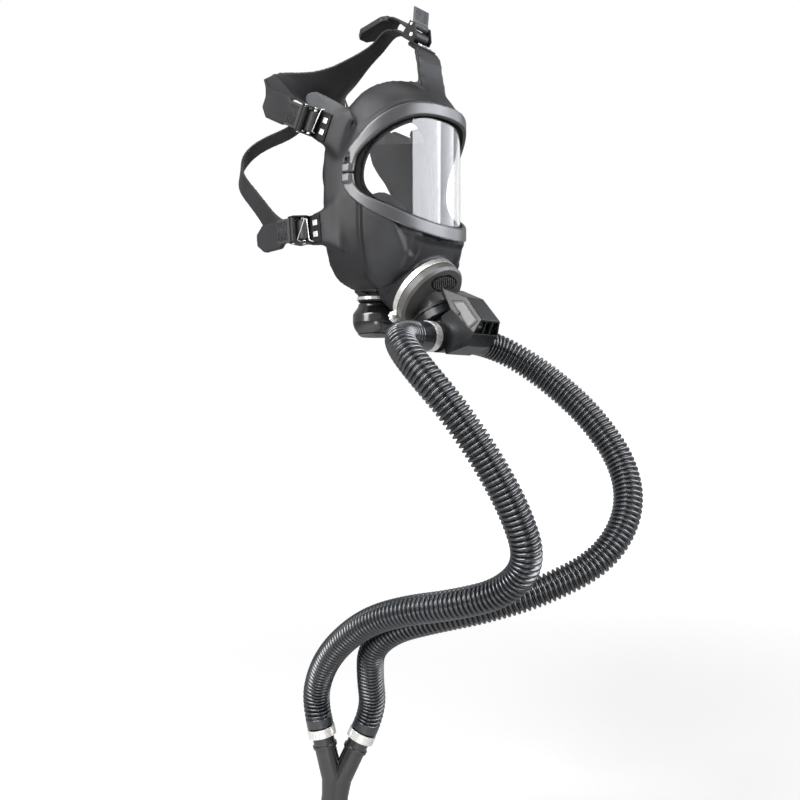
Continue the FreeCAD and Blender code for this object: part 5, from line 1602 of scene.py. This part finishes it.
@dataclass
class Hose(Assembly):
    """One convoluted breathing hose between a manifold port and an arm of the Y-piece."""

    side: str = "right"
    route: tuple[Point, ...] = RIGHT_ROUTE
    length: float = 0.655
    radius: float = 0.014
    depth: float = 0.0032
    pitch: float = 0.0048
    cuff: float = 0.017
    far_cuff: float = 0.009
    fade: float = 0.003
    sides: int = 40
    rings: int = 8
    line_steps: int = 24
    far_pieces: tuple[str, ...] = ()

    def make(self) -> None:
        line = self.spline()
        path = self.path_of(line)
        values = {"Radius": self.radius, "Depth": self.depth, "Pitch": self.pitch, "Cuff": self.cuff,
                  "Far cuff": self.far_cuff, "Fade": self.fade, "Sides": self.sides, "Rings": self.rings,
                  "Material": material_of(Slot.HOSE)}
        piece = grown("hose_" + self.side + "_tube", hose_tree(), values, seed=line)
        self.place(piece, Slot.HOSE, "hose_" + self.side)

    def spline(self) -> bpy.types.Object:
        """The hose's centre line as one smooth spline through its route.

        Returns:
            The line.
        """
        line = curve_through("hose_line_" + self.side, self.route, Run.SMOOTH)
        line.data.resolution_u = self.line_steps
        spline = line.data.splines[0]
        spline.order_u = 3
        spline.use_endpoint_u = True
        return line

    @staticmethod
    def path_of(line: bpy.types.Object) -> list[Point]:
        """Points read from the spline, in order.

        Args:
            line: the centre line.

        Returns:
            The points.
        """
        mesh = result_of(line)
        path = [tuple(vertex.co) for vertex in mesh.vertices]
        bpy.data.meshes.remove(mesh)
        return path


@dataclass
class YPiece(Assembly):
    """The Y-piece at the hoses' far end, the hoses' four clamps and the swivel nut for the blower."""

    title: str = "Y-piece"

    def make(self) -> None:
        """Dress the Y-piece and the four hose clamps."""
        self.dress_nodes({"y_piece": Slot.Y_PLASTIC, "swivel_nut": Slot.Y_PLASTIC,
                          "swivel_seal": Slot.GASKET})
        self.dress_nodes({f"hose_clamp_{end}_{side}": Slot.BRIGHT
                          for end in ("arm", "port") for side in ("right", "left")})


# ---------------------------------------------------------------- studio
@dataclass(frozen=True)
class Lamp:
    """A soft rectangular lamp that the camera doesn't see; its power is in watts."""

    name: str
    place: Point
    target: Point
    size: Pair
    power: float
    colour: Colour = (1.0, 1.0, 1.0)
    lights_matt: bool = True

    def make(self) -> None:
        """Hang the lamp and turn it to its target."""
        data = bpy.data.lights.new(self.name, "AREA")
        data.shape = "RECTANGLE"
        data.size, data.size_y = self.size
        data.energy = self.power
        data.color = self.colour
        light = link_new(self.name, data)
        light.location = self.place
        light.rotation_euler = (Vector(self.target) - Vector(self.place)).to_track_quat("-Z", "Y").to_euler()
        light.visible_camera = False
        light.visible_diffuse = self.lights_matt


@dataclass
class Studio:
    """Pale floor and surround, soft lamps and the camera."""

    camera_place: Point = (-0.7867, -0.6727, -0.200)
    camera_turn: float = -52.0
    lens: float = 45.0
    sensor: float = 36.0
    surround: float = 0.26
    gloss_surround: float = 0.5
    floor_gap: float = 0.06
    floor_reach: float = 40.0
    floor_pale: tuple[Colour, Colour] = ((0.86, 0.86, 0.86), (0.90, 0.90, 0.90))
    floor_cloud_scale: float = 3.0
    floor_glow: float = 0.38
    floor_fade: Span = (0.9, 3.0)
    lamps: tuple[Lamp, ...] = (
        Lamp("key", (-1.15, -0.20, 0.75), (0.0, -0.04, -0.02), (0.45, 0.65), 17.0),
        Lamp("top", (-0.15, -0.35, 1.25), (0.0, -0.03, 0.0), (0.8, 0.6), 6.0),
        Lamp("low", (-1.0, -1.0, -0.75), (0.0, -0.10, -0.25), (0.5, 0.6), 9.0),
        Lamp("side", (-1.27, 0.20, 0.28), (-0.07, -0.05, 0.02), (0.55, 0.70), 12.0),
        Lamp("wrap", (1.08, -0.83, 0.33), (0.0, -0.10, 0.03), (0.98, 0.85), 9.0, (0.90, 0.93, 1.0), False),
        Lamp("card", (0.30, -1.25, 0.33), (0.0, -0.10, 0.03), (1.15, 0.85), 27.0, (0.93, 0.94, 1.0), False))

    def make(self) -> None:
        """Build the studio."""
        bpy.context.scene.view_settings.view_transform = "Standard"
        self.make_camera()
        self.make_world()
        self.make_floor()
        for lamp in self.lamps:
            lamp.make()

    def make_camera(self) -> None:
        """Place the camera level, looking at the mask from its right front."""
        data = bpy.data.cameras.new("camera")
        data.lens = self.lens
        data.sensor_width = self.sensor
        camera = link_new("camera", data)
        camera.location = self.camera_place
        camera.rotation_euler = (math.pi / 2, 0.0, math.radians(self.camera_turn))
        bpy.context.scene.camera = camera

    def make_world(self) -> None:
        """White surround for the camera and glass, a grey one for gloss and an even soft light."""
        world = bpy.data.worlds.new("surround")
        bpy.context.scene.world = world
        world.use_nodes = True
        maker = TreeMaker(world.node_tree)
        seen = maker.add("ShaderNodeLightPath", None, None, "Is Camera Ray")
        glossy = maker.sibling(seen, "Is Glossy Ray")
        shown = seen.larger_of(maker.sibling(seen, "Is Transmission Ray"))
        strength = self.surround + shown * (1.0 - self.surround)
        strength = strength + glossy * (self.gloss_surround - self.surround)
        light = maker.add("ShaderNodeBackground", None, {"Color": (1, 1, 1, 1), "Strength": strength})
        maker.add("ShaderNodeOutputWorld", None, {"Surface": light})

    def make_floor(self) -> None:
        """Pale floor just below the part; the camera sees it glow, and brighter far away."""
        level = CAD_BOX[0].z - self.floor_gap
        reach = self.floor_reach
        mesh = bpy.data.meshes.new("floor")
        mesh.from_pydata([(-reach, -reach, level), (reach, -reach, level), (reach, reach, level),
                          (-reach, reach, level)], [], [(0, 1, 2, 3)])
        floor = link_new("floor", mesh)
        maker = ShaderMaker("pale_floor")
        away = maker.add("ShaderNodeVectorMath", {"operation": "LENGTH"}, {0: maker.place}, "Value")
        bright = self.floor_glow + maker.ramp(away, *self.floor_fade) * (1 - self.floor_glow)
        pale = maker.mix(maker.noise(self.floor_cloud_scale, 2.0), *self.floor_pale)
        diffuse = maker.add("ShaderNodeBsdfDiffuse", None, {"Color": pale})
        glow = maker.add("ShaderNodeEmission", None, {"Strength": bright})
        dark = maker.add("ShaderNodeEmission", None, {"Strength": 0.0})
        seen = maker.add("ShaderNodeLightPath", None, None, "Is Camera Ray")
        shown = maker.add("ShaderNodeMixShader", None, {0: seen, 1: dark, 2: glow})
        both = maker.add("ShaderNodeAddShader", None, {0: diffuse, 1: shown})
        maker.add("ShaderNodeOutputMaterial", None, {"Surface": both})
        floor.data.materials.append(maker.material)


def main() -> None:
    """Build the studio and every sub-assembly."""
    logging.basicConfig(level=logging.INFO, format="%(name)s: %(message)s")
    Studio().make()
    assemblies = [
        Hose(title="right hose", side="right", route=RIGHT_ROUTE, length=0.655,
             far_pieces=("hose_clamp_arm_right", "y_piece", "swivel_nut", "swivel_seal")),
        Hose(title="left hose", side="left", route=LEFT_ROUTE, length=0.672,
             far_pieces=("hose_clamp_arm_left",)),
        YPiece(), FaceBlank(), FaceSeal(), Harness(), Buckles(), Visor(), Connector(), Manifold(),
        ChinValve(), NoseCup()]
    for assembly in assemblies:
        assembly.make()
        assembly.report()


if __name__ == "__main__":
    main()
